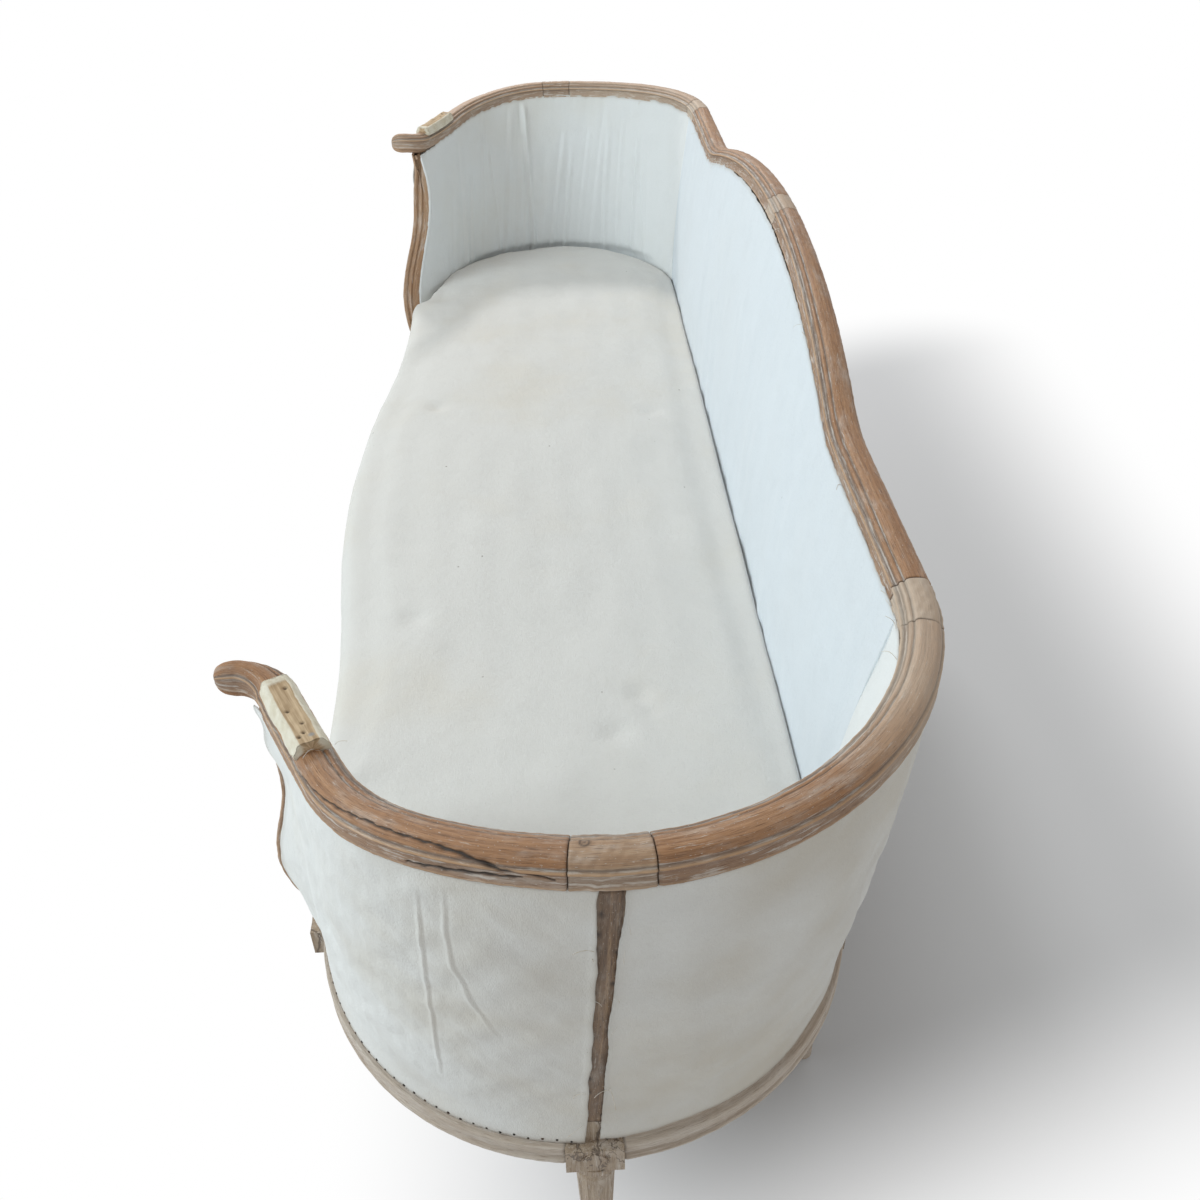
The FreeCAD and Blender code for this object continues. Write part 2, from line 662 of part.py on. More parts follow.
def head_tenon(gap=0.0):
    head = front_post_head()
    half = FOOT_TENON / 2 - 1 + gap
    return Part.makeBox(2 * half, 2 * half, RAIL_HEIGHT / 2 + 2 * gap,
                        Vector(head.x - half, head.y - half, head.z - gap))


def arm():
    shape = rail_run(arm_stations())
    end = hook(HOOK_TURN)
    nose = Station(end.point + end.along * NOSE_LENGTH, end.along, end.out, end.up)
    nose.point.z -= (RAIL_HEIGHT - NOSE_HEIGHT) / 2
    tip = loft([rail_section(end), rail_section(nose, NOSE_WIDTH, NOSE_HEIGHT)], True)
    shape = shape.fuse(tip).fuse(rail_tenon(top(2 + ARM_HALF), -1))
    return whole(shape.cut(pad_base()).cut(head_tenon(JOINT_GAP)))


def front_post_axis(height, across=0.0, forward=0.0):
    """Point on the swayed line from the post's foot to its head, so far across and forward."""
    foot, head = FRONT_POST_FOOT.at(0, 0, SEAT_RAIL_TOP), front_post_head()
    share = (height - foot.z) / (head.z - foot.z)
    sway = FRONT_POST_SWAY * math.sin(2 * math.pi * share)
    return foot + (head - foot) * share + Vector(across, -forward - sway, 0)


def front_post(gap=0.0):
    """S-curved post from the front die to the underside of the arm's curl."""
    wires = []
    for height in spaced(SEAT_RAIL_TOP, front_post_head().z, 9):
        place = Station(front_post_axis(height), Vector(1, 0, 0), Vector(0, 1, 0))
        half_w, half_d = FRONT_POST_WIDTH / 2 + gap, FRONT_POST_DEPTH / 2 + gap
        wires.append(quad([place.at(-half_w, -half_d, 0), place.at(half_w, -half_d, 0),
                           place.at(half_w, half_d, 0), place.at(-half_w, half_d, 0)]))
    shape = loft(wires).fuse(foot_tenon(FRONT_POST_FOOT))
    return whole(shape.fuse(head_tenon()))


both_ends("arm_rail", arm())
both_ends("arm_pad_base", pad_base())
both_ends("front_post", front_post())


# Seat support: webbing tacked across the seat rails, and a hessian over it.
SEAT_MARGIN = WALL_BACK - CLEAR    # the webbing and hessian stop behind the stuffed walls


def tub_x(y, out):
    """Where the round end reaches, at a distance y across and out from the seat rail's middle."""
    return BASE_CX + math.sqrt((BASE_RC + out) ** 2 - (y - BASE_CY) ** 2)


back_web_y = BASE_CY + BASE_RC + SEAT_MARGIN
cross_count = int(2 * (BASE_CX - WEB_WIDTH) / WEB_PITCH)
straps = []
for x in spaced(-cross_count * WEB_PITCH / 2, cross_count * WEB_PITCH / 2, cross_count + 1):
    front_y = max(front(x - WEB_WIDTH / 2).point.y, front(x + WEB_WIDTH / 2).point.y) + SEAT_REBATE + 2
    straps.append(Part.makeBox(WEB_WIDTH, back_web_y - front_y, WEB_THICK,
                               Vector(x - WEB_WIDTH / 2, front_y, SEAT_RAIL_TOP)))
parts["seat_webbing_across"] = Part.makeCompound(straps)

straps = []
front_in = FRONT_CROWN_Y + WAVE_SWEEP + SEAT_RAIL_WIDTH
back_in = BASE_CY + BASE_RC - SEAT_RAIL_WIDTH / 2
web_gap = (back_in - front_in - LONG_WEBS * WEB_WIDTH) / (LONG_WEBS + 1)
for i in range(LONG_WEBS):
    low_y = front_in + web_gap * (i + 1) + WEB_WIDTH * i
    reach = min(tub_x(low_y, SEAT_MARGIN), tub_x(low_y + WEB_WIDTH, SEAT_MARGIN))
    straps.append(Part.makeBox(2 * reach, WEB_WIDTH, WEB_THICK,
                               Vector(-reach, low_y, SEAT_RAIL_TOP + WEB_THICK)))
parts["seat_webbing_along"] = Part.makeCompound(straps)


def seat_outline(height, inset, face, end_out=0.0):
    """Plan of the seat: straight back, round ends and a waved front, cut in at the front posts."""
    back = BASE_RC + face - inset
    middle_x = BASE_CX + end_out
    lip_x = FRONT_LEG_X - DIE_WIDTH / 2 - SEAT_GAP - inset
    end_turn = math.acos((FRONT_LEG_X - SEAT_GAP - middle_x) / (BASE_RC + face))

    def at(x, y):
        return Vector(x, y, height)

    def ring_at(angle):
        return at(middle_x + back * math.cos(angle), BASE_CY + back * math.sin(angle))

    def wave_at(x):
        place = front(x)
        reach = SEAT_REBATE - SEAT_LAP - CLEAR + inset
        spot = place.at(0, -reach, height)
        return spot

    def left(point):
        return at(-point.x, point.y)

    corner, end, shoulder = ring_at(math.pi / 2), ring_at(0), ring_at(-end_turn)
    lip = wave_at(lip_x)
    turn_point, mid_bulge = wave_at(WAVE_HALF / 2), wave_at(WAVE_HALF / 4)
    mid_dip = wave_at((WAVE_HALF / 2 + lip_x) / 2)
    half = [Part.makeLine(at(0, corner.y), corner),
            Part.Arc(corner, ring_at(math.pi / 4), end).toShape(),
            Part.Arc(end, ring_at(-end_turn / 2), shoulder).toShape(),
            Part.makeLine(shoulder, lip),
            Part.Arc(lip, mid_dip, turn_point).toShape(),
            Part.Arc(turn_point, mid_bulge, wave_at(0.0)).toShape()]
    other = [Part.Arc(wave_at(0.0), left(mid_bulge), left(turn_point)).toShape(),
             Part.Arc(left(turn_point), left(mid_dip), left(lip)).toShape(),
             Part.makeLine(left(lip), left(shoulder)),
             Part.Arc(left(shoulder), left(ring_at(-end_turn / 2)), left(end)).toShape(),
             Part.Arc(left(end), left(ring_at(math.pi / 4)), left(corner)).toShape(),
             Part.makeLine(left(corner), at(0, corner.y))]
    return Part.Wire(half + other)


hessian = Part.Face(seat_outline(WEB_TOP, SEAT_REBATE, SEAT_MARGIN + SEAT_REBATE))
parts["seat_hessian"] = hessian.extrude(Vector(0, 0, HESSIAN_THICK))
for shape in (front_post(CLEAR), mirrored(front_post(CLEAR))):
    parts["seat_hessian"] = whole(parts["seat_hessian"].cut(shape))


# Stuffed seat: full sides, a rounded edge and a crown, with its cover lapped over the front rail.
def seat_pad():
    low = HESSIAN_TOP + CLEAR
    face = WALL_FACE - SEAT_BACK_IN
    side = SEAT_EDGE - SEAT_ROUND
    levels = [(low, SEAT_DRAW), ((low + side) / 2, SEAT_DRAW * 0.25)]
    for share in spaced(0, 1, 7):
        turn = share * math.radians(75)
        levels.append((side + SEAT_ROUND * math.sin(turn), SEAT_ROUND * (1 - math.cos(turn))))
    round_top, round_in = levels[-1]
    for share in spaced(0.2, 1, 5):
        rise = (SEAT_EDGE + SEAT_CROWN - round_top) * (1 - (1 - share) ** 2)
        levels.append((round_top + rise, round_in + (SEAT_FLAT - round_in) * share))
    return loft([seat_outline(height, inset, face, SEAT_END_OUT) for height, inset in levels], True)


def seat_lap(place):
    """Strip of the seat's cover down the front rail's set-back."""
    inner = SEAT_LAP + CLEAR - SEAT_REBATE - SEAT_LAP
    corners = [(inner, COVER_FOOT + CLEAR), (inner + SEAT_LAP, COVER_FOOT + CLEAR),
               (inner + SEAT_LAP, HESSIAN_TOP + 20), (inner, HESSIAN_TOP + 20)]
    return quad([place.at(0, out, up) for out, up in corners])


lap = wave_rail(seat_lap)
ends = Part.makeBox(LENGTH, LENGTH, LENGTH, Vector(FRONT_LEG_X - DIE_WIDTH / 2 - SEAT_GAP, -LENGTH / 2, 0))
lap = lap.cut(ends)
parts["seat_pad"] = whole(seat_pad().fuse(lap).fuse(mirrored(lap)))


def curve(points):
    """Smooth edge through points."""
    line = Part.BSplineCurve()
    line.interpolate(points)
    return line.toShape()


# Stuffed inside walls, one length per bay, meeting over the posts.
def wall_wire(k):
    low = HESSIAN_TOP + CLEAR
    high = top(k).at(0, 0, -RAIL_HEIGHT).z + REBATE_HEIGHT - HEAD_GAP
    head_back = -CORE - HEAD_GAP
    back_low, back_high = wall(k, low, WALL_BACK), wall(k, high, head_back)
    face_high, face_low = wall(k, high, head_back - WALL_HEAD), wall(k, low, WALL_FACE)
    swell = WALL_BELLY * (1 - swing((k - 2) / (WALL_LAST - 2)))
    share = (WALL_BELLY_AT - low) / (high - low)
    belly = face_low + (face_high - face_low) * share - base(k).out * (swell + 1)
    return Part.Wire([Part.makeLine(back_low, back_high), Part.makeLine(back_high, face_high),
                      Part.Arc(face_high, belly, face_low).toShape(), Part.makeLine(face_low, back_low)])


def stuffed_wall(first, last, count):
    return loft([wall_wire(k) for k in spaced(first, last, count)])


def stuffed_arm():
    """The wall under the arm, which ends against the back of the front post."""
    low = HESSIAN_TOP + CLEAR
    high = front_post_head().z - CLEAR
    behind, before = FRONT_POST_WIDTH / 2 - 7, 3 - FRONT_POST_WIDTH / 2
    back_low, back_high = front_post_axis(low, behind), front_post_axis(high, behind)
    face_low, face_high = front_post_axis(low, before), front_post_axis(high, before)
    belly = (face_low + face_high) / 2 - Vector(1, 0, 0)
    end = Part.Wire([Part.makeLine(back_low, back_high), Part.makeLine(back_high, face_high),
                     Part.Arc(face_high, belly, face_low).toShape(), Part.makeLine(face_low, back_low)])
    shape = loft([wall_wire(k) for k in spaced(2, WALL_LAST, 7)] + [end])
    return whole(shape.cut(front_post_room()).cut(parts["arm_rail_right"]))


def front_post_room():
    """Space round the front post, open to its front and sides."""
    wide = FRONT_POST_WIDTH / 2 + 2 * CLEAR + 12
    deep = FRONT_POST_DEPTH / 2 + 2 * CLEAR
    wires = []
    for height in spaced(SEAT_RAIL_TOP - 1, front_post_head().z + 20, 9):
        place = Station(front_post_axis(height), Vector(1, 0, 0), Vector(0, 1, 0))
        wires.append(quad([place.at(-wide, -deep - 12, 0), place.at(wide, -deep - 12, 0),
                           place.at(wide, deep, 0), place.at(-wide, deep, 0)]))
    return loft(wires, True)


both_ends("inside_back", stuffed_wall(0, CORNER, 9))
both_ends("inside_shoulder", stuffed_wall(CORNER, 2, 7))
both_ends("inside_arm", stuffed_arm())


# Upright webbing behind the stuffed walls, from the seat rail to the top rail.
def upright_web(k):
    reach = WEB_WIDTH / 2 / (TOP_CX if k < 1 else QUARTER if k < 2 else ARM_RUN)
    sag = 0 if k + reach <= 1 else WEB_WIDTH ** 2 / 8 / ((TOP_RC if k < 2 else ARM_RADIUS) - RAIL_WIDTH)
    sides = (k - reach, k + reach)
    head_z = min(top(side).at(0, 0, -RAIL_HEIGHT).z for side in sides) - CLEAR

    def slice_at(height, inner):
        near = [wall(side, height, inner + sag) for side in sides]
        far = [wall(side, height, inner + sag + WEB_THICK) for side in sides]
        return quad([near[0], near[1], far[1], far[0]])

    return loft([slice_at(SEAT_RAIL_TOP + 0.1, WALL_BACK + CLEAR), slice_at(head_z, -CORE - HEAD_GAP + CLEAR)],
                True)


uprights = []
for first, last, count in ((0, CORNER, 6), (CORNER, 2, 3), (2, WALL_LAST, 3)):
    span = (last - first) / count
    uprights += [upright_web(first + span * (i + 0.5)) for i in range(count)]
uprights += [mirrored(shape) for shape in uprights]
parts["wall_webbing"] = Part.makeCompound(uprights)


# Outside covers, one length per bay, lapped over the edges of the posts.
def cover_spots(k, share, extra):
    """Points up a cover at one place: two on the seat rail, then up to the top rail."""
    high = top(k).at(0, RAIL_WIDTH / 2, REBATE_HEIGHT - HEAD_GAP - RAIL_HEIGHT).z
    swell = COVER_BULGE * math.sin(math.pi * share) + COVER_SLACK
    inner_low, inner_high = SEAT_FACE + CLEAR, CORE + HEAD_GAP
    spots = [wall(k, COVER_FOOT + CLEAR, inner_low + extra)]
    for rise in spaced(0, 1, 5):
        out = inner_low + (inner_high - inner_low) * rise + swell * math.sin(math.pi * rise)
        spots.append(wall(k, SEAT_RAIL_TOP + (high - SEAT_RAIL_TOP) * rise, out + extra))
    return spots


def cover_wire(k, share):
    """Section of a cover: upright on the seat rail, then one easy curve up to the top rail."""
    near, far = cover_spots(k, share, 0), cover_spots(k, share, COVER_THICK)
    return Part.Wire([Part.makeLine(near[0], far[0]), Part.makeLine(far[0], far[1]),
                      curve(far[1:]), Part.makeLine(far[-1], near[-1]),
                      curve(near[:0:-1]), Part.makeLine(near[1], near[0])])


def cover_end():
    """Points up the last edge of the arm's cover: by the front die, then up the side of the front post."""
    turn = math.degrees(math.acos((FRONT_LEG_X + DIE_WIDTH / 2 + CLEAR - BASE_CX) / BASE_RC))
    by_die = base(2 + (turn - 1) / BASE_ANGLE)
    spots = [by_die.at(0, SEAT_FACE + CLEAR + COVER_SLACK, z) for z in (COVER_FOOT + CLEAR, SEAT_RAIL_TOP)]
    for height in spaced(SEAT_RAIL_TOP, front_post_head().z - CLEAR, 5)[1:]:
        spots.append(front_post_axis(height, FRONT_POST_WIDTH / 2 + CLEAR, COVER_FORWARD))
    return spots


def arm_cover(first, last, count):
    """The cover under the arm, one easy surface thickened outwards, which ends at the front post."""
    shares = spaced(0, 1, count)
    columns = [cover_spots(first + (last - first) * share, share, 2 * COVER_SLACK) for share in shares]
    columns.append(cover_end())
    for column in columns:
        column.insert(1, (column[0] + column[1]) / 2)
    surface = Part.BSplineSurface()
    surface.interpolate(columns)
    shape = surface.toShape().makeOffsetShape(-COVER_THICK, 0.01, fill=True)
    for name in ("arm_rail_right", "front_leg_right", "end_post_right", "end_seat_rail_front_right"):
        shape = shape.cut(parts[name])
    return shape.cut(front_post(CLEAR / 2))


def outside_cover(name, first, last, count):
    if name == "outside_arm":
        return arm_cover(first, last, count)
    return loft([cover_wire(first + (last - first) * share, share) for share in spaced(0, 1, count)])


strip = POST_SHOWN / 2
COVERS = {
    "outside_back": (strip / TOP_CX, CORNER - strip / QUARTER, 9),
    "outside_shoulder": (CORNER + strip / QUARTER, 2 - strip / QUARTER, 7),
    "outside_arm": (2 + strip / ARM_RUN, WALL_LAST, 7),
}


# Tacks along the lower edge of the outside covers.
def tack(k):
    height = COVER_FOOT + 12
    place = base(k, height)
    spot = wall(k, height, SEAT_FACE + CLEAR + COVER_THICK)
    head = Part.makeCylinder(TACK_HEAD, TACK_HEAD_RISE, spot + place.out * 0.6, place.out)
    return head.fuse(Part.makeCylinder(TACK_SHANK, TACK_LENGTH, spot + place.out * 0.6, place.out * -1))


tacks = []
for first, last, count in COVERS.values():
    run = (ring(last, BASE_CX, BASE_CY, BASE_RC).point - ring(first, BASE_CX, BASE_CY, BASE_RC).point).Length
    number = max(int(run / TACK_PITCH), 2)
    margin = (last - first) * 0.03
    tacks += [tack(k) for k in spaced(first + margin, last - margin, number)]
tack_holes = Part.makeCompound(tacks)

for name, (first, last, count) in COVERS.items():
    both_ends(name, whole(outside_cover(name, first, last, count).cut(tack_holes)))
for name in ("back_seat_rail", "end_seat_rail_back", "end_seat_rail_front", "end_leg",
             "back_corner_leg"):
    both_ends(name, whole(parts[name + "_right"].cut(tack_holes)))
tacks += [mirrored(shape) for shape in tacks]
centre_holes = Part.makeCompound(tacks)
parts["back_centre_leg"] = whole(parts["back_centre_leg"].cut(centre_holes))
parts["cover_tacks"] = Part.makeCompound(tacks)

os.makedirs("parts", exist_ok=True)
for name, shape in parts.items():
    shape.exportStep("parts/" + name + ".step")

box = Part.makeCompound(list(parts.values())).BoundBox
print("pieces", len(parts), "box", [round(v, 2) for v in (
    box.XMin, box.YMin, box.ZMin, box.XMax, box.YMax, box.ZMax)])
for name, shape in parts.items():
    if not shape.isValid() or shape.Volume <= 0:
        print("not valid:", name, round(shape.Volume, 1))
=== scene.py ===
import math

import bmesh
import bpy
import numpy as np
from mathutils import Matrix, Vector


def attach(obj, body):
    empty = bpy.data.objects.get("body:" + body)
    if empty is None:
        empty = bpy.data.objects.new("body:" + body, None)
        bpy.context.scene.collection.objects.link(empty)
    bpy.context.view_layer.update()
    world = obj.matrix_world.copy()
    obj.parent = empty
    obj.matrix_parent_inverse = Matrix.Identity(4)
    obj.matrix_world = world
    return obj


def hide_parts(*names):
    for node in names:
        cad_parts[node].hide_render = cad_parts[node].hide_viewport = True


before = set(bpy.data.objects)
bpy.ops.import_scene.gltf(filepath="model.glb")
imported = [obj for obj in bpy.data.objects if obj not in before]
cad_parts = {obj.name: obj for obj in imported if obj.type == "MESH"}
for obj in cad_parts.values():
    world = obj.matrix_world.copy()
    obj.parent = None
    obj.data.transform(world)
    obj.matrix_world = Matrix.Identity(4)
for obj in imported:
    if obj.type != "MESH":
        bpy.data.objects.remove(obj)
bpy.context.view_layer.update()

# Legs.
# Turned and fluted beech shafts under a square die with a rosette, cut from one piece and
# let into the seat rails. The old paint is stripped and its pale residue stays in the grain.


def put(tree, kind, inputs=None, **settings):
    """Add a shader or geometry node, set it up and link its inputs."""
    node = tree.nodes.new(kind)
    for name, value in settings.items():
        setattr(node, name, value)
    for name, value in (inputs or {}).items():
        if isinstance(value, bpy.types.NodeSocket):
            tree.links.new(value, node.inputs[name])
        else:
            node.inputs[name].default_value = value
    return node


def blank_material(name, roughness, specular=0.3):
    material = bpy.data.materials.new(name)
    material.use_nodes = True
    shader = material.node_tree.nodes["Principled BSDF"]
    shader.inputs["Roughness"].default_value = roughness
    shader.inputs["Specular IOR Level"].default_value = specular
    return material, material.node_tree, shader


def place_on(tree, kind="Object"):
    return put(tree, "ShaderNodeTexCoord").outputs[kind]


def mixed(tree, share, first, second):
    """Colour between two colours."""
    node = put(tree, "ShaderNodeMix", data_type="RGBA")
    for index, value in ((0, share), (6, first), (7, second)):
        if isinstance(value, bpy.types.NodeSocket):
            tree.links.new(value, node.inputs[index])
        else:
            node.inputs[index].default_value = value if index == 0 else (*value, 1)
    return node.outputs[2]


def layered(tree, colour, layers):
    """Lay paints over a colour, each by its own share."""
    for share, paint in layers:
        colour = mixed(tree, share, colour, paint)
    return colour


def between(tree, value, low, high, reach=1.0):
    """Soft step from 0 at low to reach at high."""
    settings = {"Value": value, "From Min": low, "From Max": high, "To Max": reach}
    return put(tree, "ShaderNodeMapRange", settings, interpolation_type="SMOOTHSTEP").outputs[0]


def summed(tree, kind, first, second):
    return put(tree, "ShaderNodeMath", {0: first, 1: second}, operation=kind).outputs[0]


def vector(tree, kind, *values):
    node = put(tree, "ShaderNodeVectorMath", dict(enumerate(values)), operation=kind)
    return node.outputs["Value" if kind in ("LENGTH", "DOT_PRODUCT") else "Vector"]


def clouds(tree, place, scale, detail=4.0, rough=0.55):
    """Noise with its own scale on each axis."""
    spot = vector(tree, "MULTIPLY", place, scale)
    settings = {"Vector": spot, "Scale": 1.0, "Detail": detail, "Roughness": rough}
    return put(tree, "ShaderNodeTexNoise", settings).outputs[0]


def coloured(tree, shader, colour, height=None, strength=0.5, distance=0.001):
    """Give a shader its colour and, where there is a height, its fine relief."""
    tree.links.new(colour, shader.inputs["Base Color"])
    if height is not None:
        bump = put(tree, "ShaderNodeBump", {"Height": height, "Strength": strength, "Distance": distance})
        tree.links.new(bump.outputs[0], shader.inputs["Normal"])


def painted(tree, name):
    return put(tree, "ShaderNodeAttribute", attribute_name=name).outputs["Fac"]


def stripped_wood(name, dark, middle, light, residue, grain="uv", pale=(0.62, 0.57, 0.52)):
    """Stripped beech: streaked along the grain, with pale residue in its hollows and pores."""
    material, tree, shader = blank_material(name, 0.58, 0.45)
    where = place_on(tree, "UV" if grain == "uv" else "Object")

    def noise(slow, quick, detail, rough=0.55):
        scales = {"uv": (slow, quick, 1), "y": (quick, slow, quick), "z": (quick, quick, slow)}
        return clouds(tree, where, scales[grain], detail, rough)

    streak, patch, pores = noise(6, 260, 7, 0.66), noise(7, 30, 3), noise(60, 1300, 3)
    lime, haze, speck = noise(26, 300, 6, 0.72), noise(18, 55, 5, 0.65), noise(260, 700, 3, 0.6)
    hollow = painted(tree, "hollow")
    limed = summed(tree, "ADD", lime, summed(tree, "MULTIPLY", hollow, 0.13))
    grey = [sum(middle) / 3 * share for share in (1.12, 1.0, 0.88)]
    colour = layered(tree, [0.45 * d + 0.55 * m for d, m in zip(dark, middle)], [
        (between(tree, streak, 0.34, 0.54), middle),
        (between(tree, streak, 0.5, 0.68), light),
        (between(tree, patch, 0.45, 0.72, 0.5), light),
        (summed(tree, "MULTIPLY", hollow, 0.7), grey),
        (between(tree, haze, 0.46, 0.74, 0.2 + 0.45 * residue), pale),
        (between(tree, pores, 0.53, 0.66, 0.7), dark),
        (between(tree, limed, 0.65 - residue * 0.12, 0.74 - residue * 0.1, 0.8), pale),
        (between(tree, speck, 0.64, 0.7, 0.75), pale),
        (between(tree, speck, 0.33, 0.28, 0.6), dark),
        # Lighter orange on the moulding's ridges: a painted highlight.
        (painted(tree, "ridge_highlight"), (0.58, 0.37, 0.21)),
        # Pale grey where marked: bleached residue, and on the near shoulder a painted sheen.
        (painted(tree, "bleach_and_sheen"), (0.60, 0.50, 0.40)),
        # Near black where marked: real cracks, dark joints and holes, and painted shade in the quirks.
        (painted(tree, "cracks_and_quirk_shade"), (0.025, 0.016, 0.011))])
    height = summed(tree, "ADD", streak, summed(tree, "MULTIPLY", pores, 0.5))
    coloured(tree, shader, colour, height, 0.7, 0.0011)
    return material


def dress(node, material):
    """Give a construction solid its finish."""
    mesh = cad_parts[node].data
    mesh.materials.clear()
    mesh.materials.append(material)


SIDES = ("left", "right")


def add_checks(material, above):
    """Drying cracks along the grain in the square dies."""
    tree = material.node_tree
    place = place_on(tree)
    stretched = vector(tree, "MULTIPLY", place, (26, 26, 11))
    bent = vector(tree, "ADD", stretched, clouds(tree, place, (90, 90, 60), 3))
    cells = put(tree, "ShaderNodeTexVoronoi", {"Vector": bent, "Scale": 1.0}, feature="DISTANCE_TO_EDGE")
    height = put(tree, "ShaderNodeSeparateXYZ", {0: place}).outputs["Z"]
    lines = summed(tree, "MULTIPLY", between(tree, cells.outputs["Distance"], 0.05, 0.012),
                   between(tree, height, above, above + 0.006, 0.7))
    shader = tree.nodes["Principled BSDF"]
    plain = shader.inputs["Base Color"].links[0].from_socket
    coloured(tree, shader, mixed(tree, lines, plain, (0.07, 0.048, 0.034)))


DIE_FOOT = 0.262
leg_wood = stripped_wood("leg_beech", (0.22, 0.15, 0.10), (0.40, 0.31, 0.225), (0.50, 0.42, 0.33), 0.8, "z")
add_checks(leg_wood, DIE_FOOT)
for leg in ("front_leg", "end_leg", "back_corner_leg"):
    for side in SIDES:
        dress(f"{leg}_{side}", leg_wood)
dress("front_centre_leg", leg_wood)
dress("back_centre_leg", leg_wood)

# Seat rails.
# Lengths of beech between the dies: a bead, a hollow and a flat band below, and above them a
# set-back face for the covers. They are sawn to the curve, tenoned into the dies and pegged.
BASE_MIDDLE = (0.776, 0.00646)
BASE_RADIUS = 0.2895
BASE_ANGLE = 80.0
FRONT_CROWN = -0.35854
WAVE_HALF, WAVE_SWEEP, WAVE_RADIUS = 0.640, 0.045, 2.28681
FRONT_LEG_X = 0.775
DIE_HALF = 0.030
SEAT_RAIL_HALF = 0.0225
SEAT_RAIL_TOP = 0.340
EASED_END, DARK_END = 0.0012, 0.0009
RAIL_GAP = 0.0005


class Place:
    """A spot on the frame, with its directions along, out and up."""

    def __init__(self, point, along, out, up=(0, 0, 1)):
        self.point, self.along, self.out, self.up = Vector(point), Vector(along), Vector(out), Vector(up)

    def at(self, along, out, up):
        return self.point + self.along * along + self.out * out + self.up * up


def turned(middle, radius, degrees):
    """Place on a round seen from above, running from the back to the front."""
    c, s = math.cos(math.radians(degrees)), math.sin(math.radians(degrees))
    return Place((middle[0] + radius * c, middle[1] + radius * s, 0), (s, -c, 0), (c, s, 0))


def round_line(k, middle, radius, front_angle):
    """Place on the frame's line: 0 back centre, 1 back corner, 2 end, 3 front of the arm."""
    if abs(k) <= 1:
        return Place((k * middle[0], middle[1] + radius, 0), (1, 0, 0), (0, 1, 0))
    return turned(middle, radius, 90 * (2 - k) if k <= 2 else -(k - 2) * front_angle)


def base(k):
    return round_line(k, BASE_MIDDLE, BASE_RADIUS, BASE_ANGLE)


def front(x):
    """Place on the waved front rail's outer face."""
    if abs(x) <= WAVE_HALF / 2:
        y = FRONT_CROWN + WAVE_RADIUS - math.sqrt(WAVE_RADIUS ** 2 - x ** 2)
        out = Vector((x, y - FRONT_CROWN - WAVE_RADIUS, 0)).normalized()
    else:
        reach = math.copysign(WAVE_HALF, x) - x
        y = FRONT_CROWN + WAVE_SWEEP - WAVE_RADIUS + math.sqrt(WAVE_RADIUS ** 2 - reach ** 2)
        out = Vector((reach, FRONT_CROWN + WAVE_SWEEP - WAVE_RADIUS - y, 0)).normalized()
    return Place((x, y, 0), (out.y, -out.x, 0), out)


def ripple(points, length, seed, count=8):
    """Smooth unevenness between -1 and 1, from a few crossing waves of about this length."""
    draw = np.random.default_rng(seed)
    ways = draw.normal(size=(count, 3))
    ways /= np.linalg.norm(ways, axis=1)[:, None]
    ways *= (2 * math.pi / length * draw.uniform(0.6, 1.5, count))[:, None]
    waves = np.sin(np.asarray(points) @ ways.T + draw.uniform(0, 2 * math.pi, count))
    return waves.sum(-1) / count * 1.6


def runs(points):
    """Length along a line at each of its points."""
    return np.concatenate([[0], np.cumsum(np.linalg.norm(np.diff(points, axis=0), axis=1))])


def ramp(value, low, high):
    """Straight step from 0 at low to 1 at high."""
    return np.clip((value - low) / (high - low), 0, 1)


def peak(value, middle, width):
    """1 at the middle, down to 0 at this width to each side."""
    return np.clip(1 - np.abs(value - middle) / width, 0, 1)


def evenly(points, step, closed=False):
    """Resample a polyline at about this step."""
    line = np.asarray(points, float)
    if closed:
        line = np.vstack([line, line[:1]])
    run = runs(line)
    spots = np.linspace(0, run[-1], max(int(run[-1] / step), 3) + 1)
    if closed:
        spots = spots[:-1]
    return np.stack([np.interp(spots, run, line[:, i]) for i in range(line.shape[1])], 1)


def new_piece(name, vertices, faces, material, uv=None, marks=None):
    """Mesh object in the part's frame, with outward faces."""
    mesh = bpy.data.meshes.new(name)
    mesh.from_pydata([tuple(v) for v in vertices], [], faces)
    if uv is not None:
        layer = mesh.uv_layers.new(name="grain")
        layer.data.foreach_set("uv", np.asarray(uv, np.float32).ravel())
    for mark, values in (marks or {}).items():
        layer = mesh.attributes.new(mark, "FLOAT", "POINT")
        layer.data.foreach_set("value", np.asarray(values, np.float32).ravel())
    work = bmesh.new()
    work.from_mesh(mesh)
    bmesh.ops.recalc_face_normals(work, faces=work.faces)
    work.to_mesh(mesh)
    work.free()
    mesh.polygons.foreach_set("use_smooth", [True] * len(mesh.polygons))
    mesh.materials.append(material)
    piece = bpy.data.objects.new(name, mesh)
    bpy.context.scene.collection.objects.link(piece)
    return piece


def tube_faces(rows, columns):
    faces = []
    for i in range(rows - 1):
        for j in range(columns):
            a, b = i * columns + j, i * columns + (j + 1) % columns
            faces.append((a, b, b + columns, a + columns))
    return faces


